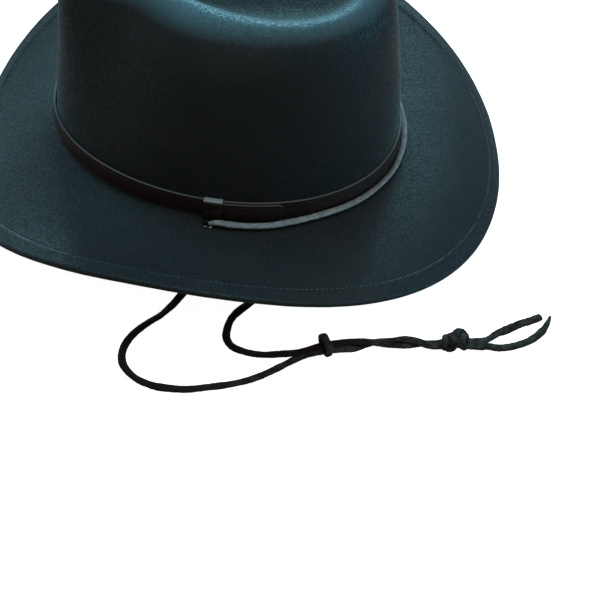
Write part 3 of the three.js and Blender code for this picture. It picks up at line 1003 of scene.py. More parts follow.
@dataclass
class FeltBody:
    """The felt: one piece from the crown's hollow to the folded and stitched edge of the brim."""

    form: HatForm
    finish: FurFelt = field(default_factory=FurFelt)
    thread: StitchThread = field(default_factory=StitchThread)
    columns: int = 400
    crown_rows: int = 78
    inside_rows: int = 40
    seam_from_edge: float = 11.0
    seam_depth: float = 0.2
    seam_width: float = 0.55
    puff: float = 0.75
    puff_rise: float = 6.0
    fold_slope: float = 1.7
    # Where the folded edge ends underneath: how far from the fold, and how thick the felt is there
    fold_steps: tuple[tuple[float, float], ...] = ((0.35, 3.85), (0.0, 3.2), (-0.1, 2.4))
    # How high the felt's slow waves and small dimples are, and how far apart
    wave: tuple[float, float] = (0.28, 34.0)
    dimple: tuple[float, float] = (0.1, 9.0)
    press_softness: float = 0.6
    pressed_below: float = 4.0
    stitch_spacing: float = 3.0
    stitch_length: float = 1.6
    thread_radius: float = 0.3
    # Each stitch end in two steps: how far on, how far down, and how thick it still is
    stitch_end: tuple[tuple[float, float, float], ...] = ((0.35, 0.35, 0.85), (0.15, 0.9, 0.5))
    hole_radius: float = 2.7
    off_brim: float = -50.0

    @property
    def angles(self) -> Array:
        """Angles of the columns; the last one closes the round."""
        return np.linspace(0, math.tau, self.columns + 1)

    @property
    def seam_at(self) -> float:
        """Distance of the edge's seam from the crown."""
        return self.form.brim_width - self.seam_from_edge

    def crown_stations(self, count: int) -> Array:
        """Levels at even steps along the felt, from the bottom of the hollow to the foot.

        Args:
            count: how many levels.

        Returns:
            Places in the table of levels.
        """
        fine = np.linspace(len(CROWN_LEVELS) - 1, 0, 400)
        quarter = np.radians([0.0, 90.0, 180.0])
        profile = np.array([self.form.crown_row(level, quarter) for level in blended(self.form.table, fine)])
        steps = np.linalg.norm(np.diff(profile, axis=0), axis=-1).mean(axis=1)
        reached = np.concatenate([[0.0], np.cumsum(steps)])
        return np.interp(np.linspace(0, reached[-1], count), reached, fine)

    def brim_distances(self) -> list[float]:
        """Distances of the brim's rows.

        Returns:
            The distances, close together at the foot and along the seam.
        """
        open_felt = list(np.linspace(8, self.seam_at - 2.2, 22))
        seam = [self.seam_at + d for d in (-1.2, -0.7, -0.35, 0, 0.35, 0.7, 1.2, 2.2)]
        edge = list(np.linspace(self.seam_at + 3.6, self.form.brim_width - self.form.edge_thickness / 2, 5))
        return [1.6, 3, 5] + open_felt + seam + edge

    def top_relief(self, distances: Array, points: Array) -> Array:
        """How far the top stands proud of the block's shape: sloping fold, sunk seam and slight lumps.

        Args:
            distances: how far out along the brim each row is.
            points: rows of points on the block's shape.

        Returns:
            A height for each point.
        """
        from_seam = distances - self.seam_at
        fold = np.clip(from_seam / self.seam_from_edge, 0, 1)
        puffed = self.puff * np.sqrt(np.clip(self.puff_rise * fold, 0, 1)) * (1 - self.fold_slope * fold)
        relief = puffed - self.seam_depth * bell(from_seam, self.seam_width)
        (wave, wave_size), (dimple, dimple_size) = self.wave, self.dimple
        waves = wave * unevenness(points, wave_size, 3.1)
        return relief[:, None] + (waves + dimple * unevenness(points, dimple_size, 7.7))

    def skin(self) -> tuple[Array, Array]:
        """The closed skin of the felt.

        Returns:
            Rows of points from the hollow over the edge to the inside, and each row's distance from
            the crown's foot along the brim.
        """
        form, angle = self.form, self.angles
        stations = self.crown_stations(self.crown_rows)
        crown = [form.crown_row(level, angle) for level in blended(form.table, stations)]
        distances = self.brim_distances()
        base = np.array(crown + form.brim_rows(distances, angle))
        away = np.array([self.off_brim] * len(crown) + distances)
        normals = row_normals(base)
        top = base + normals * self.top_relief(away, base)[..., None]
        radius = form.edge_thickness / 2
        last = top[-1]
        edge = [
            last + form.normal(angle, form.brim_width) * radius * (math.cos(turn) - 1)
            + form.along(angle, form.brim_width) * radius * math.sin(turn)
            for turn in np.radians(np.arange(18, 180, 18))
        ]
        fold_at = form.brim_width - form.fold_width
        under = [(d, form.edge_thickness) for d in distances[::-1] if d > fold_at + 0.5]
        under += [(fold_at + step, depth) for step, depth in self.fold_steps]
        under += [(d, form.felt_thickness) for d in distances[::-1] if d < fold_at - 0.8]
        low = [self.sunk(base, normals, away, d, depth) for d, depth in under]
        inside = np.linspace(len(crown) - 1, 0, self.inside_rows)
        inner = [base[round(i)] - normals[round(i)] * form.felt_thickness for i in inside]
        rows = [*top, *edge, *low, *inner]
        reach = [*away, *[form.brim_width] * len(edge), *(d for d, _ in under)]
        return np.array(rows), np.array(reach + [self.off_brim] * len(inner))

    def sunk(self, base: Array, normals: Array, away: Array, distance: float, depth: float) -> Array:
        """A row below the top of the brim.

        Args:
            base: rows of points of the block's shape.
            normals: a normal for each of them.
            away: each row's distance out along the brim.
            distance: where the row is wanted, which may be between two others.
            depth: how far below the top, square to the felt.

        Returns:
            The row's points.
        """
        brim = away >= 0
        after = int(np.clip(np.searchsorted(away[brim], distance), 1, brim.sum() - 1))
        low, high = np.flatnonzero(brim)[[after - 1, after]]
        share = (distance - away[low]) / (away[high] - away[low])
        point = base[low] * (1 - share) + base[high] * share
        return point - unit(normals[low] * (1 - share) + normals[high] * share) * depth

    def rest_on_floor(self, points: Array) -> Array:
        """Presses what would lie below the floor up to it, softly.

        Args:
            points: the felt's points where the hat lies.

        Returns:
            The points, none of them below the floor.
        """
        z = points[..., 2]
        pressed = 0.5 * (z + np.sqrt(z**2 + self.press_softness**2))
        lying = np.where(z > self.pressed_below, z, pressed)
        return np.concatenate([points[..., :2], lying[..., None]], axis=-1)

    def seam_reach(self) -> Array:
        """How far round the seam each column lies, in millimetres."""
        return run_along(self.form.brim_rows([self.seam_at], self.angles)[0])

    def stitch_count(self) -> int:
        """How many stitches go round the brim."""
        return round(self.seam_reach()[-1] / self.stitch_spacing)

    def seam_share(self) -> Array:
        """How far round the seam each column lies, from 0 to 1."""
        reach = self.seam_reach()
        return reach / reach[-1]

    def build_felt(self) -> bpy.types.Object:
        """Models the felt body with its eyelet holes.

        Returns:
            The finished piece.
        """
        rows, reach = self.skin()
        placed = self.rest_on_floor(self.form.set_down(rows))
        share = self.seam_share() * self.stitch_count()
        piece = bent_sheet(
            "hat_felt", self.columns, len(rows) - 1,
            lambda column, row: placed[row, column],
            lambda column, row: np.stack([share[column], reach[row] - self.seam_at], axis=-1),
            "stitch_track",
        )
        close_up(piece)
        for side in Side:
            self.punch(piece, side)
        smooth(piece)
        return finish_piece(piece, self.finish, Slot.FELT, "felt_body")

    def punch(self, piece: bpy.types.Object, side: Side) -> None:
        """Cuts one eyelet's hole through the brim.

        Args:
            piece: the felt.
            side: the wearer's left or right.
        """
        bpy.ops.mesh.primitive_cylinder_add(vertices=24, radius=self.hole_radius * MM, depth=10 * MM)
        drill = named("eyelet_punch")
        drill.data.transform(eyelet_place(self.form, side))
        apply_modifier(piece, "BOOLEAN", object=drill, operation="DIFFERENCE", solver="EXACT")
        bpy.data.objects.remove(drill)

    def build_stitches(self) -> bpy.types.Object:
        """Models one stitch and sets copies of it along both faces of the seam.

        Returns:
            The joined piece.
        """
        count = self.stitch_count()
        at = np.interp((np.arange(count) + 0.5) / count, self.seam_share(), self.angles)
        top = self.form.set_down(self.form.brim_rows([self.seam_at], at)[0])
        up = self.form.tipped(self.form.normal(at, self.seam_at))
        ahead = unit(np.roll(top, -1, axis=0) - np.roll(top, 1, axis=0))
        side = unit(np.cross(up, ahead))
        sunk = self.seam_depth - self.thread_radius * 0.6
        under = top - up * (self.form.edge_thickness + self.thread_radius * 0.3)
        under[:, 2] = np.maximum(under[:, 2], self.thread_radius)
        places = []
        for centre in (top - up * sunk, under):
            for p, x, y, z in zip(centre * MM, ahead, side, up):
                turn = Matrix((x, y, z)).transposed().to_4x4()
                places.append(Matrix.Translation(p) @ turn)
        stitches = joined_copies(self.one_stitch(), "brim_stitching", places)
        smooth(stitches)
        return finish_piece(stitches, self.thread, Slot.FELT)

    def one_stitch(self) -> bpy.types.Object:
        """A short length of thread along X whose ends dive into the felt.

        Returns:
            The pattern stitch at the origin.
        """
        half, radius = self.stitch_length / 2 * MM, self.thread_radius * MM
        bpy.ops.mesh.primitive_cylinder_add(
            vertices=6, radius=radius, depth=half, rotation=(0, math.pi / 2, 0),
        )
        bpy.ops.object.transform_apply(location=False, rotation=True, scale=False)
        stitch = named("stitch")
        bpy.ops.object.mode_set(mode="EDIT")
        for end in (-1, 1):
            bpy.ops.mesh.select_all(action="DESELECT")
            bpy.ops.object.mode_set(mode="OBJECT")
            for face in stitch.data.polygons:
                face.select = face.normal.x * end > 0.9
            bpy.ops.object.mode_set(mode="EDIT")
            for step, drop, size in self.stitch_end:
                bpy.ops.mesh.extrude_region_move(
                    TRANSFORM_OT_translate={"value": (end * step * half, 0, -drop * radius)}
                )
                bpy.ops.transform.resize(value=(size, size, size))
        bpy.ops.object.mode_set(mode="OBJECT")
        return stitch

    def build(self) -> list[bpy.types.Object]:
        """Models the felt and its stitching."""
        return [self.build_felt(), self.build_stitches()]


def eyelet_place(form: HatForm, side: Side) -> Matrix:
    """Where a thing made about the Z axis goes at an eyelet, square to the brim.

    Args:
        form: the hat's shape.
        side: the wearer's left or right.

    Returns:
        The turn and move, in metres.
    """
    angle = np.radians([side.value * form.eyelet_angle])
    up = Vector(form.tipped(form.normal(angle, form.eyelet_out))[0])
    middle = Vector(form.set_down(form.eyelet_middle(side)) * MM)
    return Matrix.Translation(middle) @ up.to_track_quat("Z", "Y").to_matrix().to_4x4()


@dataclass
class HatBand:
    """The leather strap round the crown, its tail and the keeper that holds the tail."""

    form: HatForm
    leather: StrapLeather = field(default_factory=StrapLeather)
    # The keeper's pale edge colour is a painted highlight on its top
    keeper_leather: StrapLeather = field(
        default_factory=lambda: StrapLeather(edge=0x5C7275, roughness=0.38, glaze=0.25)
    )
    foot: float = 1.8
    top: float = 13.4
    thickness: float = 1.6
    gap: float = 0.3
    tail_foot: float = 2.6
    tail_top: float = 12.7
    tail_thickness: float = 1.2
    tail_angles: tuple[float, float] = (89.9, 114.8)
    keeper_angles: tuple[float, float] = (89.4, 95.4)
    keeper_thickness: float = 1.0
    keeper_back: float = 0.9
    keeper_corner: float = 0.9
    keeper_swell: float = 0.15
    keeper_edge_round: float = 0.3
    tip_radius: float = 3.2
    swell: float = 0.18
    crease_in: float = 1.3
    crease_depth: float = 0.22
    crease_width: float = 0.3
    edge_round: float = 0.45
    sharp_edge: float = 50.0

    def wall(self, angle: Array, height: Array, out: Array) -> Array:
        """Points on the strap's path.

        Args:
            angle: where round the hat.
            height: above the crown's foot.
            out: how far outside the crown's wall.

        Returns:
            Points in the hat's own axes.
        """
        low, high = (self.form.crown_row(self.form.table[i], angle) for i in (0, 1))
        foot, top = CROWN_LEVELS[0].height, CROWN_LEVELS[1].height
        share = ((height - foot) / (top - foot))[:, None]
        return low * (1 - share) + high * share + self.form.outward(angle) * out[:, None]

    def strap_sheet(
        self, name: str, spans: tuple[int, int], angles: tuple[float, float], heights: tuple[float, float],
        inner: float, thickness: float, tip: float = 0.0,
    ) -> bpy.types.Object:
        """Models a length of strap: a sheet bent to the crown, given its thickness and rounded edges.

        Args:
            name: the piece's name.
            spans: spans along the strap and across it.
            angles: where it starts and ends, in degrees.
            heights: its lower and upper edge above the crown's foot.
            inner: how far its inner face is from the crown's wall.
            thickness: the leather's thickness.
            tip: radius of the rounded corners at its far end.

        Returns:
            The piece without its finish.
        """
        start, end = np.radians(angles)
        low, high = heights
        middle, half = (low + high) / 2, (high - low) / 2
        stops = np.linspace(start, end, spans[0] + 1)
        path = self.wall(stops, np.full(len(stops), middle), np.zeros(len(stops)))
        reached = run_along(path)

        def place(column: Array, row: Array) -> Array:
            """Where the face's points go, with its swell, its pressed crease and its rounded tip.

            Args:
                column: how many spans along the strap.
                row: how many spans across it.

            Returns:
                The points where the hat lies, in millimetres.
            """
            left = reached[-1] - reached[column]
            short = np.clip(tip - left, 0, tip)
            rounded = half - tip + np.sqrt(np.maximum(tip**2 - short**2, 0))
            room = rounded if tip else np.full(len(left), half)
            across = (row / spans[1] * 2 - 1) * room
            inside = np.minimum(room - np.abs(across), left if tip else 1e9)
            crease = self.crease_depth * bell(inside - self.crease_in, self.crease_width)
            swell = self.swell * (1 - (across / half) ** 2)
            out = inner + thickness + swell - crease
            angle = start + (end - start) * column / spans[0]
            return self.form.set_down(self.wall(angle, middle + across, out))

        strap = bent_sheet(
            name, spans[0], spans[1], place,
            lambda column, row: np.stack([reached[column], row / spans[1] * (high - low)], axis=-1) * MM,
            "strap_track",
        )
        close_up(strap)
        self.face_outward(strap)
        apply_modifier(strap, "SOLIDIFY", thickness=thickness * MM, offset=-1.0, use_even_offset=True)
        apply_modifier(
            strap, "BEVEL", width=self.edge_round * MM, segments=3, limit_method="ANGLE",
            angle_limit=math.radians(self.sharp_edge), use_clamp_overlap=True,
        )
        smooth(strap, 40)
        mark_pale_edges_and_highlights(strap, lambda place, normal: 1 - abs(normal.dot(self.from_crown(place))))
        return strap

    def from_crown(self, place: Vector) -> Vector:
        """Level direction away from the crown.

        Args:
            place: a place beside the crown, in metres.

        Returns:
            A unit vector.
        """
        x, y = place.x / MM, place.y / MM + self.form.foot_forward
        angle = math.atan2(x / self.form.foot_half_width, -y / self.form.foot_half_length)
        return Vector(self.form.outward(np.array([angle]))[0])

    def face_outward(self, strap: bpy.types.Object) -> None:
        """Turns an open sheet so that its faces look away from the crown.

        Args:
            strap: the sheet, before it is given its thickness.
        """
        face = strap.data.polygons[len(strap.data.polygons) // 2]
        if face.normal.xy.dot(face.center.xy) < 0:
            strap.data.flip_normals()

    def build_strap(self) -> bpy.types.Object:
        """Models the strap all round the crown.

        Returns:
            The finished piece.
        """
        strap = self.strap_sheet(
            "band_strap_leather", (360, 24), (0, 360), (self.foot, self.top), self.gap, self.thickness,
        )
        return finish_piece(strap, self.leather, Slot.STRAP, "band_strap")

    def build_tail(self) -> bpy.types.Object:
        """Models the strap's overlapping tail, with rounded corners at its tip.

        Returns:
            The finished piece.
        """
        tail = self.strap_sheet(
            "band_tail_leather", (96, 28), self.tail_angles, (self.tail_foot, self.tail_top),
            2 * self.gap + self.thickness, self.tail_thickness, tip=self.tip_radius,
        )
        return finish_piece(tail, self.leather, Slot.STRAP, "band_tail")

    def build_keeper(self) -> bpy.types.Object:
        """The keeper: a loop of thinner leather over the strap and its tail.

        Returns:
            The finished piece.
        """
        front = 3 * self.gap + self.thickness + self.tail_thickness + self.keeper_thickness / 2
        lip = self.keeper_thickness / 2
        foot, top = self.foot - self.gap - lip + 0.1, self.top + self.gap + lip - 0.1
        bend = [(0, self.keeper_corner), (0.25, 0.3), (self.keeper_corner, 0)]
        outline = [(foot, self.keeper_back), *((foot + up, front - back) for up, back in bend)]
        outline += [(height, front + self.keeper_swell) for height in np.linspace(foot + 2.5, top - 2.5, 6)]
        outline += [*((top - down, front - back) for down, back in reversed(bend)), (top, self.keeper_back)]
        section = np.array(outline)
        start, end = np.radians(self.keeper_angles)
        spans = (10, len(section) - 1)

        def place(column: Array, row: Array) -> Array:
            """Where the section's corners go, at a span round the crown and a corner of the section."""
            angle = start + (end - start) * column / spans[0]
            return self.form.set_down(self.wall(angle, section[row, 0], section[row, 1]))

        keeper = bent_sheet(
            "band_keeper_loop", spans[0], spans[1], place,
            lambda column, row: np.stack([column / spans[0], row / spans[1]], axis=-1), "strap_track",
        )
        self.face_outward(keeper)
        apply_modifier(
            keeper, "SOLIDIFY", thickness=self.keeper_thickness * MM, offset=0.0, use_even_offset=True,
        )
        apply_modifier(
            keeper, "BEVEL", width=self.keeper_edge_round * MM, segments=3, limit_method="ANGLE",
            angle_limit=math.radians(self.sharp_edge),
        )
        smooth(keeper, self.sharp_edge)
        # Painted highlight: faces that look up take the pale edge colour
        mark_pale_edges_and_highlights(keeper, lambda place, normal: max(0.0, normal.z) ** 4)
        return finish_piece(keeper, self.keeper_leather, Slot.STRAP, "band_keeper")

    def build(self) -> list[bpy.types.Object]:
        """Models the strap, its tail and its keeper."""
        return [self.build_strap(), self.build_tail(), self.build_keeper()]


@dataclass
class Eyelets:
    """The two brass eyelets beside the band, rolled over on both faces of the felt."""

    form: HatForm
    brass: AgedBrass = field(default_factory=AgedBrass)
    hole_radius: float = 2.0
    barrel_radius: float = 2.4
    flange_radius: float = 3.5
    flange_thickness: float = 0.5
    gap: float = 0.3
    steps: int = 40

    def profile(self) -> list[tuple[float, float]]:
        """The section of the rolled wall, from the hole round the flanges.

        Returns:
            Radius and height of its corners.
        """
        inside = self.form.felt_thickness / 2 + self.gap
        roll = (self.flange_radius - self.hole_radius) / 2
        middle = self.hole_radius + roll
        rim = [
            (middle - roll * math.cos(t), inside + 0.12 + (self.flange_thickness + 0.35) * math.sin(t))
            for t in np.linspace(0.12, math.pi - 0.02, 9)
        ]
        under = [(self.flange_radius - 0.15, inside), (self.barrel_radius + 0.1, inside - 0.02)]
        upper = [(self.hole_radius, inside - 0.3), *rim, *under, (self.barrel_radius, inside - 0.3)]
        return upper + [(r, -h) for r, h in reversed(upper)]

    def build_one(self, side: Side) -> bpy.types.Object:
        """Models one eyelet by spinning its profile.

        Args:
            side: the wearer's left or right.

        Returns:
            The finished piece.
        """
        eyelet = spun(f"eyelet_{side.name.lower()}_brass", self.profile(), Vector((0, 0, 1)), self.steps)
        eyelet.data.transform(eyelet_place(self.form, side))
        smooth(eyelet, 60)
        return finish_piece(eyelet, self.brass, Slot.METAL, f"eyelet_{side.name.lower()}")

    def build(self) -> list[bpy.types.Object]:
        """Models both eyelets."""
        return [self.build_one(side) for side in Side]


class Route(Enum):
    """The lace's lengths, as points in millimetres from where each starts, as in the part's source."""

    BACK = (
        (95.1, -1, 45.2), (95.2, 5.5, 45.3), (95.1, 13, 44.5), (93.6, 24, 43.2), (90.9, 35, 42.2),
        (86.2, 45.2, 41.1), (80.6, 54.7, 39.8), (74.6, 63.6, 38.5), (66.1, 74.7, 36.9), (56.1, 84.4, 35.3),
        (43.6, 93.7, 33.8), (30, 100.7, 32.5), (16.7, 104.3, 31.8), (0, 105.9, 31.5), (-16.7, 104.3, 31.8),
        (-30, 100.7, 32.5), (-43.6, 93.7, 33.8), (-56.1, 84.4, 35.3), (-66.1, 74.7, 36.9),
        (-74.6, 63.6, 38.5), (-80.6, 54.7, 39.8), (-86.2, 45.2, 41.1), (-90.9, 35, 42.2), (-93.6, 24, 43.2),
        (-95.1, 13, 44.5), (-95.2, 5.5, 45.3), (-95.1, -1, 45.2),
    )
    LEFT = (
        (95.1, 0.6, 43.3), (95.2, 0.5, 32), (95.3, -0.4, 18), (97, -3.6, 7.2), (102, -8, 2.3),
        (111.3, -13.2, 1.6), (120.8, -17.5, 1.6), (129.8, -23.2, 1.6), (136.8, -29.6, 1.6),
        (144.8, -35.5, 1.6), (153.1, -39, 1.6), (161.1, -39.8, 1.6), (168.1, -38.1, 1.6),
        (174.1, -33.6, 1.6), (178.8, -27.4, 1.6), (182.1, -18.4, 1.6), (182.9, -9.2, 1.6),
        (182.4, 0.8, 1.6), (179.7, 11.4, 1.6), (176, 23.8, 1.6), (171.4, 34.4, 1.6), (165.3, 43.7, 1.8),
        (158.4, 52.4, 2.4), (152.6, 62.3, 3.8), (147.3, 74.6, 5.4), (144.6, 82, 4), (141.4, 89.6, 1.9),
        (137.6, 96.3, 1.6), (134, 102.8, 1.6), (132.4, 109.8, 1.8), (131.8, 116.8, 4.2),
        (134.2, 124.2, 5.6), (136.8, 131.3, 4.9), (136.6, 138.2, 5),
    )
    RIGHT = (
        (-95.1, 0.6, 43.3), (-95.2, 0.6, 31), (-94.4, 1.8, 17), (-88, 5.7, 6.5), (-77, 11.2, 2),
        (-60, 18.7, 1.6), (-40, 27.2, 1.6), (-18, 34.7, 1.6), (5, 40.2, 1.6), (30, 43.7, 1.6),
        (55, 44.7, 1.6), (78, 42.7, 1.6), (96.8, 37.3, 1.6), (107.8, 30.8, 1.6), (114.4, 26.4, 1.6),
        (119.8, 22, 1.6), (127.1, 17.8, 1.6), (135.5, 16.4, 1.6), (142.6, 17, 1.6), (148.1, 20.8, 1.6),
        (151.3, 28.3, 1.6), (152.4, 38, 1.6), (151, 48.8, 2.2), (148.6, 59.8, 4.4), (144.7, 73.1, 8.2),
        (141.4, 80.8, 7.3), (139.2, 88.4, 6), (137.9, 96.1, 5.3), (137.8, 103.8, 3.8), (137.2, 111.4, 1.8),
        (136.4, 118.8, 1.6), (133.8, 125.8, 1.6), (132, 131.8, 2.2), (132.4, 138.2, 5),
    )
    TAIL_A = (
        (130.2, 153.4, 5.2), (127.6, 158.3, 2.6), (124.8, 164.2, 1.6), (121, 169, 1.6), (116.3, 176, 1.6),
        (112, 181.8, 1.6), (109, 187.4, 1.6), (104.1, 193.2, 1.6),
    )
    TAIL_B = (
        (134.4, 153.7, 4.6), (133, 158.6, 2.2), (131.8, 165.2, 1.6), (131.4, 170.4, 1.6), (129.5, 178, 1.6),
        (124, 187.7, 1.6), (115.7, 194.8, 1.6), (109.1, 198.5, 1.6), (103.3, 200.1, 1.6),
    )

    @property
    def points(self) -> Array:
        """The points as an array."""
        return np.array(self.value, dtype=float)


def smooth_route(points: Array, step: float) -> Array:
    """A smooth curve through a route's points, with no overshoot where they lie unevenly.

    Args:
        points: the route, in millimetres.
        step: the spacing of the points that come back.

    Returns:
        Points at even steps along the curve.
    """
    ends = np.vstack([2 * points[0] - points[1], points, 2 * points[-1] - points[-2]])
    knots = np.concatenate([[0.0], np.cumsum(np.sqrt(np.linalg.norm(np.diff(ends, axis=0), axis=1)))])
    fine = []
    for i in range(1, len(ends) - 2):
        p, k = ends[i - 1:i + 3], knots[i - 1:i + 3]
        t = np.linspace(k[1], k[2], 16, endpoint=False)[:, None]
        near = [p[j] + (p[j + 1] - p[j]) * (t - k[j]) / (k[j + 1] - k[j]) for j in range(3)]
        wide = [near[j] + (near[j + 1] - near[j]) * (t - k[j]) / (k[j + 2] - k[j]) for j in range(2)]
        fine.append(wide[0] + (wide[1] - wide[0]) * (t - k[1]) / (k[2] - k[1]))
    curve = np.vstack([*fine, points[-1:]])
    reached = run_along(curve)
    even = np.linspace(0, reached[-1], max(2, round(reached[-1] / step)) + 1)
    return np.stack([np.interp(even, reached, curve[:, k]) for k in range(3)], axis=1)


@dataclass
class LaceStrand:
    """One swept length of flat lace: its section, its turns about itself and how its ends are cut."""

    name: str
    path: Array
    width: float = 3.8
    thickness: float = 1.9
    twist: float = 0.5
    ragged: float = 0.16
    end_round: float = 0.6
    taper: float = 0.0
    tip_share: float = 0.3
    gathered: tuple[float, float] = (0.0, 0.0)
    # Painted shade: the lace is fully dark up to the first distance along it and clear of it from the second
    oiled: tuple[float, float] = (-1.0, 0.0)
    seed: float = 1.0
    around: int = 18
    closed: bool = False
    on_edge: float = 0.0
    on_edge_from: tuple[float, float] = (88.0, 125.0)
    on_edge_narrower: float = 0.22
    # How much narrower and how much thicker the lace is where it is gathered
    squeezed: tuple[float, float] = (0.6, 0.25)
    # How square the section is: lower is squarer, at the lace's edges and on its faces
    squareness: tuple[float, float] = (0.6, 0.75)

    @property
    def reached(self) -> Array:
        """How far along the lace each point of its path is."""
        return run_along(self.path)

    def frames(self) -> tuple[Array, Array]:
        """Which way the lace lies along its path.

        Returns:
            Directions across the lace and square to its face, one of each for each point.
        """
        if self.closed:
            ahead = unit(np.roll(self.path[:-1], -1, axis=0) - np.roll(self.path[:-1], 1, axis=0))
            ahead = np.vstack([ahead, ahead[:1]])
        else:
            ahead = unit(np.gradient(self.path, axis=0))
        side = np.zeros_like(ahead)
        carried = unit(np.cross(ahead[0], [0.3, 0.5, 1.0]))
        for i, direction in enumerate(ahead):
            level = np.cross([0, 0, 1.0], direction)
            weight = min(1.0, np.linalg.norm(level) * 1.6)
            if np.dot(level, carried) < 0:
                level = -level
            mix = unit(level + 1e-9) * weight + carried * (1 - weight)
            carried = unit(mix - direction * np.dot(mix, direction))
            side[i] = carried
        start, end = self.on_edge_from
        share = np.clip((self.reached - start) / (end - start), 0, 1)
        turn = (self.twist * unevenness(self.path, 24.0, self.seed) + self.on_edge * share)[:, None]
        if self.closed:
            turn = turn * 0
        face = np.cross(ahead, side)
        return side * np.cos(turn) + face * np.sin(turn), face * np.cos(turn) - side * np.sin(turn)

    def sizes(self) -> tuple[Array, Array]:
        """How wide and thick the lace is along its path, with rounded ends, gathered where it is squeezed.

        Returns:
            The width and the thickness at each point.
        """
        reached = self.reached
        uneven = 1 + 0.1 * unevenness(self.path, 9.0, self.seed + 4)
        uneven += 0.05 * unevenness(self.path, 3.0, self.seed)
        width, thickness = self.width * uneven, self.thickness * uneven
        for reach, left in zip(self.gathered, (reached, reached[-1] - reached)):
            squeeze = bell(left, reach) if reach else 0 * left
            width = width * (1 - self.squeezed[0] * squeeze)
            thickness = thickness * (1 + self.squeezed[1] * squeeze)
        if self.on_edge:
            start, end = self.on_edge_from
            share = np.clip((reached - start) / (end - start), 0, 1)
            width = width * (1 - self.on_edge_narrower * share)
        if self.taper:
            full = np.clip((reached[-1] - reached) / self.taper, 0, 1)
            width = width * (self.tip_share + (1 - self.tip_share) * full)
        if not self.closed:
            for left in (reached, reached[-1] - reached):
                cut = np.clip(left / self.end_round, 0, 1)
                round_end = np.sqrt(np.maximum(1 - (1 - cut) ** 2, 0))
                width, thickness = width * round_end, thickness * round_end
        return width, thickness

    def build(self) -> bpy.types.Object:
        """Sweeps the section along the path.

        Returns:
            The closed mesh, without its finish.
        """
        side, face = self.frames()
        width, thickness = self.sizes()
        turn = np.linspace(0, math.tau, self.around + 1)
        across, upright = (
            np.sign(part) * np.abs(part) ** power
            for part, power in zip((np.cos(turn), np.sin(turn)), self.squareness)
        )
        points = (
            self.path[:, None] + side[:, None] * (width[:, None] / 2 * across)[..., None]
            + face[:, None] * (thickness[:, None] / 2 * upright)[..., None]
        )
        fray = unevenness(points, 1.5, self.seed + 2) + 0.6 * unevenness(points, 0.7, self.seed + 3)
        away = unit(points - self.path[:, None])
        size = np.minimum(1, thickness / self.thickness)[:, None]
        points = points + away * (self.ragged * fray * (0.4 + 0.6 * np.abs(across)) * size)[..., None]
        if self.closed:
            points[-1] = points[0]
        points[:, -1] = points[:, 0]
        points[..., 2] = np.maximum(points[..., 2], OFF_FLOOR)
        reached = self.reached
        piece = bent_sheet(
            self.name, self.around, len(self.path) - 1, lambda column, row: points[row, column],
            lambda column, row: np.stack([column / self.around * 10 * MM, reached[row] * MM], axis=-1),
            "lace_track",
        )
        close_up(piece)
        smooth(piece)
        self.mark_oiled(piece, reached)
        return piece

    def mark_oiled(self, piece: bpy.types.Object, reached: Array) -> None:
        """Stores on each vertex how dark the painted shade makes the lace there, by how far along it lies.

        Args:
            piece: the swept mesh.
            reached: how far along the lace each point of its path is.
        """
        start, end = self.oiled
        dark = np.clip((end - reached) / (end - start), 0, 1)
        path = KDTree(len(self.path))
        for i, point in enumerate(self.path * MM):
            path.insert(point, i)
        path.balance()
        layer = piece.data.attributes.new(SHADE_MARK, "FLOAT", "POINT")
        for vertex, mark in zip(piece.data.vertices, layer.data):
            mark.value = dark[path.find(vertex.co)[1]]


@dataclass(frozen=True)
class Wrap:
    """One turn of a lace in the knot, in millimetres and degrees about the knot's middle.

    A turn that faces 0 degrees goes round the laces; at 90 it lies open to the upper left of the hat.
    """

    along: float
    across: float
    lift: float
    facing: float
    radius: float
    seed: float
    wave: float = 0.12
    steps: int = 72

    def path(self) -> Array:
        """The line that the lace follows.

        Returns:
            Points round the turn, the first repeated at the end.
        """
        t = np.linspace(0, math.tau, self.steps + 1)
        ring = np.stack([np.cos(t), self.wave * np.sin(2 * t + self.seed), np.sin(t)], axis=1) * self.radius
        turn = Matrix.Rotation(math.radians(self.facing), 3, Vector((0.74, 0, -0.67)))
        return ring @ np.array(turn).T + (self.across, self.along, self.lift)


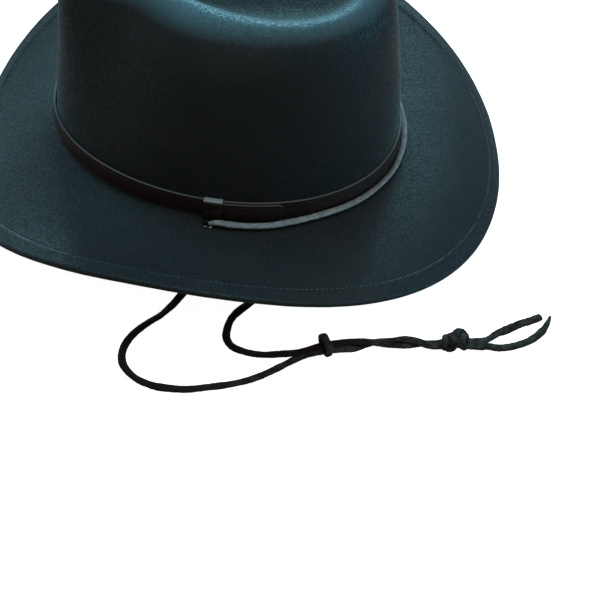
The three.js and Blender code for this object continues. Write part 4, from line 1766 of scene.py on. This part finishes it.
@dataclass
class ChinLace:
    """The chin lace: round the back of the crown, down through both eyelets, the slide, knot and tails."""

    form: HatForm
    suede: LaceSuede = field(default_factory=LaceSuede)
    # Painted light: the lace on the brim behind the crown is a lit copy of the same lace, much lighter; it
    # shows the grain face
    lit_suede: LaceSuede = field(default_factory=lambda: LaceSuede(
        matted=0x55676A, raised=0x687C80, relief_mm=0.08, face=Face.GRAIN,
    ))
    width: float = 4.2
    thickness: float = 2.0
    step: float = 0.8
    slide_at: tuple[float, float, float] = (146, 73.9, 7)
    slide_turn: float = 30.0
    slide_radius: float = 6.9
    slide_hole: float = 4.6
    slide_thickness: float = 3.8
    slide_squareness: float = 0.6
    slide_corners: int = 14
    slide_steps: int = 72
    # How high the slide's lumps and dents are, how far apart, and which of the like surfaces each is
    slide_lumps: tuple[tuple[float, float, float], ...] = ((0.22, 3.0, 5.0), (0.1, 1.2, 9.0))
    knot_at: tuple[float, float, float] = (133.2, 145.9, 6)
    knot_core: tuple[float, float, float] = (4.2, 6.4, 4.0)
    # The round tube that stands for the lace in the solids, and the height below which it lies on the floor
    tube_diameter: float = 3.0
    tube_middle: float = 1.6
    lying_below: float = 10.0
    # Two laces between these distances apart are drawn together, at most by so much
    apart: tuple[float, float] = (2.6, 7.5)
    drawn: float = 1.0
    # The back lace is drawn in to the crown behind this, fully so much farther on
    snug_behind: float = 84.0
    snug_over: float = 16.0
    wraps: tuple[Wrap, ...] = (
        Wrap(4.9, -0.4, -0.2, 20, 3.5, 11), Wrap(2.4, -1.2, 1.2, 58, 3.9, 12),
        Wrap(-2.4, 1.6, 0.2, -28, 4.1, 13), Wrap(-4.8, 1.2, -0.9, 8, 3.4, 14),
    )

    def build_strand(
        self, points: Array, solid: str, exit_at: Array, far_end: str, suede: LaceSuede,
        with_pieces: Sequence[bpy.types.Object] = (), **shape: Any,
    ) -> bpy.types.Object:
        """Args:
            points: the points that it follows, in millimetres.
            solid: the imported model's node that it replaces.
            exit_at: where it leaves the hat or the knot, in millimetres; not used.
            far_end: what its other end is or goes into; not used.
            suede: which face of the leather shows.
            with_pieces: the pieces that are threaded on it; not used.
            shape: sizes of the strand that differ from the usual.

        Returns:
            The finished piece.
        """
        path = smooth_route(points, self.step)
        strand = LaceStrand(
            f"chin_{solid}", path, **{"width": self.width, "thickness": self.thickness} | shape,
        ).build()
        finish_piece(strand, suede, Slot.LACE, solid)
        return strand

    def build_slide(self) -> bpy.types.Object:
        """Models the slide: a short leather ring, spun from its section and pressed a little out of round.

        Returns:
            The finished piece.
        """
        half, middle = self.slide_thickness / 2, (self.slide_radius + self.slide_hole) / 2
        wall = (self.slide_radius - self.slide_hole) / 2
        corners = np.arange(self.slide_corners) * math.tau / self.slide_corners
        out, up = (
            np.sign(part) * np.abs(part) ** self.slide_squareness
            for part in (np.cos(corners), np.sin(corners))
        )
        section = list(zip(middle + wall * out, half * up))
        slide = spun("lace_slide_ring", section, Vector((0, 1, 0)), self.slide_steps)
        points = np.array([v.co for v in slide.data.vertices]) / MM
        lumps = sum(unevenness(points, size, seed) * high for high, size, seed in self.slide_lumps)
        points += unit(points - unit(points * [1, 0, 1]) * middle) * lumps[:, None]
        turn = math.radians(self.slide_turn)
        x, y = points[:, 0].copy(), points[:, 1].copy()
        points[:, 0] = x * math.cos(turn) - y * math.sin(turn)
        points[:, 1] = x * math.sin(turn) + y * math.cos(turn)
        points += np.array(self.slide_at)
        points[:, 2] = np.maximum(points[:, 2], OFF_FLOOR)
        slide.data.vertices.foreach_set("co", (points * MM).ravel())
        self.lay_track(slide)
        smooth(slide)
        return finish_piece(slide, self.suede, Slot.LACE, "lace_slide")

    def lay_track(self, piece: bpy.types.Object) -> None:
        """Gives a piece that wasn't swept a UV map in metres for the suede's streaks.

        Args:
            piece: the mesh object, where it lies.
        """
        mesh = piece.data
        layer = mesh.uv_layers.get("lace_track") or mesh.uv_layers.new(name="lace_track")
        for loop in mesh.loops:
            co = mesh.vertices[loop.vertex_index].co
            layer.data[loop.index].uv = (co.x + co.y, co.z)

    def build_knot(self) -> bpy.types.Object:
        """Models the overhand knot: both laces drawn tight in two turns, one of them open to the side.

        Returns:
            The finished piece.
        """
        centre = np.array(self.knot_at)
        parts = [
            LaceStrand(
                f"knot_turn_{i}", centre + wrap.path(), width=self.width, thickness=2.5,
                ragged=0.22, seed=wrap.seed, closed=True,
            ).build()
            for i, wrap in enumerate(self.wraps)
        ]
        bpy.ops.mesh.primitive_uv_sphere_add(segments=24, ring_count=16, radius=MM)
        core = named("knot_core")
        core.data.transform(Matrix.Diagonal((*self.knot_core, 1)))
        core.data.transform(Matrix.Translation(centre * MM))
        self.lay_track(core)
        core.data.uv_layers.active = core.data.uv_layers["lace_track"]
        take_up(*parts, core)
        bpy.ops.object.join()
        knot = named("lace_knot_tied")
        smooth(knot)
        return finish_piece(knot, self.suede, Slot.LACE, "lace_knot")

    def laid_flat(self, points: Array) -> Array:
        """Lays the lace down flat on the floor, where the solids have a round one.

        Args:
            points: a route's points, in millimetres.

        Returns:
            The points, lower where the lace is near the floor.
        """
        low = points[:, 2] < self.lying_below
        height = (points[:, 2] - self.tube_middle) * self.thickness / self.tube_diameter
        flat = self.thickness / 2 + 0.1 + height
        return np.column_stack([points[:, :2], np.where(low, flat, points[:, 2])])

    def beside(self, route: Route, other: Route) -> Array:
        """A route laid flat and drawn a little nearer the other lace where they lie side by side.

        Args:
            route: the lace's own route.
            other: the route of the lace beside it.

        Returns:
            The route's points, in millimetres.
        """
        points, fine = self.laid_flat(route.points), smooth_route(other.points, self.step)
        least, most = self.apart
        way = fine[None, :, :2] - points[:, None, :2]
        reach = np.linalg.norm(way, axis=-1)
        nearest = reach.argmin(axis=1)
        gap = reach.min(axis=1)
        near = (gap > least) & (gap < most) & (points[:, 2] < self.lying_below)
        move = np.where(near, np.clip((gap - least) / 2, 0, self.drawn), 0)
        points[:, :2] += unit(way[np.arange(len(points)), nearest]) * move[:, None]
        return points

    def drawn_in(self, points: Array, x: float, z: float, leaving: bool = False) -> Array:
        """A route's points, led on into the knot.

        Args:
            points: the route laid flat, which ends or starts at the knot's surface.
            x: where beside the knot's middle the lace goes in.
            z: how far above the knot's middle it does.
            leaving: whether the route starts at the knot, not ends there.

        Returns:
            The points with one more inside the knot.
        """
        deep = np.array(self.knot_at) + np.array([x, 3.0 if leaving else -3.0, z])
        return np.vstack([deep, points] if leaving else [points, deep])

    def build(self) -> list[bpy.types.Object]:
        """Models the slide, the knot and the five lengths of lace.

        Returns:
            The seven pieces.
        """
        slide, knot = self.build_slide(), self.build_knot()
        left = self.form.set_down(self.form.eyelet_middle(Side.LEFT))
        right = self.form.set_down(self.form.eyelet_middle(Side.RIGHT))
        knot_end, dull, bright = np.array(self.knot_at), self.suede, self.lit_suede
        behind = Route.BACK.points
        behind[[0, -1]] = (95.1, 0.6, 43.6), (-95.1, 0.6, 43.6)
        snug = np.clip((behind[:, 1:2] - self.snug_behind) / self.snug_over, 0, 1)
        behind[:, :2] -= unit(behind[:, :2]) * snug
        left_route = self.drawn_in(self.beside(Route.LEFT, Route.RIGHT), 1.4, -0.3)
        right_route = self.drawn_in(self.beside(Route.RIGHT, Route.LEFT), -1.0, -0.6)
        tail_a = self.drawn_in(self.beside(Route.TAIL_A, Route.TAIL_B), -1.4, 0.0, leaving=True)
        tail_b = self.drawn_in(self.beside(Route.TAIL_B, Route.TAIL_A), 1.0, -0.6, leaving=True)
        return [
            slide, knot,
            self.build_strand(
                behind, "lace_back", left, "object", bright, twist=0.25, seed=2.0, gathered=(5.0, 5.0),
                on_edge=-0.5,
            ),
            # Painted shade: both laces are dark from their eyelets along the stretch that runs beneath the
            # hat
            self.build_strand(
                left_route, "lace_left", left, "knot", dull, [slide, knot],
                seed=5.0, gathered=(3.0, 2.0), oiled=(150.0, 230.0), width=4.6,
            ),
            self.build_strand(
                right_route, "lace_right", right, "knot", dull, [knot],
                seed=8.0, gathered=(3.0, 2.0), oiled=(364.0, 378.0), width=4.6,
            ),
            self.build_strand(
                tail_a, "lace_tail_a", knot_end, "bare", dull,
                seed=3.0, width=4.8, ragged=0.28, twist=1.1,
            ),
            self.build_strand(
                tail_b, "lace_tail_b", knot_end, "bare", dull,
                seed=6.0, taper=14.0, width=4.8, ragged=0.28,
            ),
        ]


@dataclass(frozen=True)
class SoftLight:
    """A square soft box, turned to the hat: its bearing from +X and elevation in degrees, and its light."""

    name: str
    bearing: float
    elevation: float
    watts: float
    colour: int = 0xFFFFFF
    size: float = 0.9
    away: float = 1.6

    @property
    def at(self) -> Vector:
        """Where it stands.

        Returns:
            The place, in metres.
        """
        turn, tilt = math.radians(self.bearing), math.radians(self.elevation)
        level = math.cos(tilt)
        return Vector((math.cos(turn) * level, math.sin(turn) * level, math.sin(tilt))) * self.away


@dataclass
class Studio:
    """The camera at the photograph's place, soft light from above and behind, and a white table."""

    paper: StudioPaper = field(default_factory=StudioPaper)
    camera_at: tuple[float, float, float] = (0.8552, 0.1448, 0.82725)
    azimuth: float = 96.863
    elevation: float = 47.685
    lens_mm: float = 115.998
    sensor_mm: float = 36.0
    floor_size: float = 12.0
    sky: float = 0.3
    sky_colour: int = 0xFFEAE2
    lights: tuple[SoftLight, ...] = (
        SoftLight("light_behind_low", -175, 10, 29.0, 0xB4EEFF),
        SoftLight("light_behind", -180, 30, 7.0, 0xA2E8FF),
        SoftLight("light_right_low", 90, 10, 13.0, 0x7FDCFF),
        SoftLight("light_left_behind", -120, 10, 3.8, 0xB4EEFF),
        SoftLight("light_left_low", -60, 10, 1.4, 0xFFDADC),
        SoftLight("light_right_near", 60, 50, 2.4),
        SoftLight("light_above_near", 60, 70, 11.0, 0xFFCFBE),
        SoftLight("light_above_behind", -150, 70, 11.0, 0xACEAFF),
    )

    def build_camera(self) -> None:
        """Sets up the camera, level, with the photograph's angle of view."""
        data = bpy.data.cameras.new("photo_camera")
        data.sensor_fit = "HORIZONTAL"
        data.sensor_width = self.sensor_mm
        data.lens = self.lens_mm
        data.clip_start, data.clip_end = 0.01, 100.0
        camera = bpy.data.objects.new("photo_camera", data)
        camera.location = self.camera_at
        camera.rotation_euler = (math.radians(90 - self.elevation), 0, math.radians(self.azimuth))
        bpy.context.scene.collection.objects.link(camera)
        bpy.context.scene.camera = camera

    def build_floor(self) -> None:
        """Lays the white paper, which throws no light back on the hat, as under a cut-out photograph."""
        bpy.ops.mesh.primitive_plane_add(size=self.floor_size)
        floor = named("studio_floor")
        floor.data.materials.append(self.paper.material())
        floor.visible_diffuse = False
        floor.visible_glossy = False
        floor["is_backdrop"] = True

    def build_lights(self) -> None:
        """Hangs the soft boxes, each turned to the hat, and lights the room evenly."""
        for light in self.lights:
            data = bpy.data.lights.new(light.name, "AREA")
            data.energy = light.watts
            data.size = light.size
            data.color = linear(light.colour)[:3]
            lamp = bpy.data.objects.new(light.name, data)
            lamp.location = light.at
            lamp.rotation_euler = (-light.at).to_track_quat("-Z", "Y").to_euler()
            bpy.context.scene.collection.objects.link(lamp)
        world = bpy.data.worlds.new("white_room")
        world.use_nodes = True
        background = world.node_tree.nodes["Background"]
        background.inputs["Color"].default_value = linear(self.sky_colour)
        background.inputs["Strength"].default_value = self.sky
        bpy.context.scene.world = world
        bpy.context.scene.view_settings.view_transform = "Standard"

    def build(self) -> None:
        """Builds the studio."""
        self.build_camera()
        self.build_floor()
        self.build_lights()


def main() -> None:
    """Builds the camera and the laces first, then the rest of the hat."""
    logging.basicConfig(level=logging.INFO, format="%(name)s: %(message)s")
    packed_box = [v.copy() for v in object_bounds()]
    deselect_all()
    form = HatForm()
    Studio().build()
    for assembly in (ChinLace(form), FeltBody(form), HatBand(form), Eyelets(form)):
        made = assembly.build()
        LOG.info("%s: %s", type(assembly).__name__, ", ".join(piece.name for piece in made))


if __name__ == "__main__":
    main()
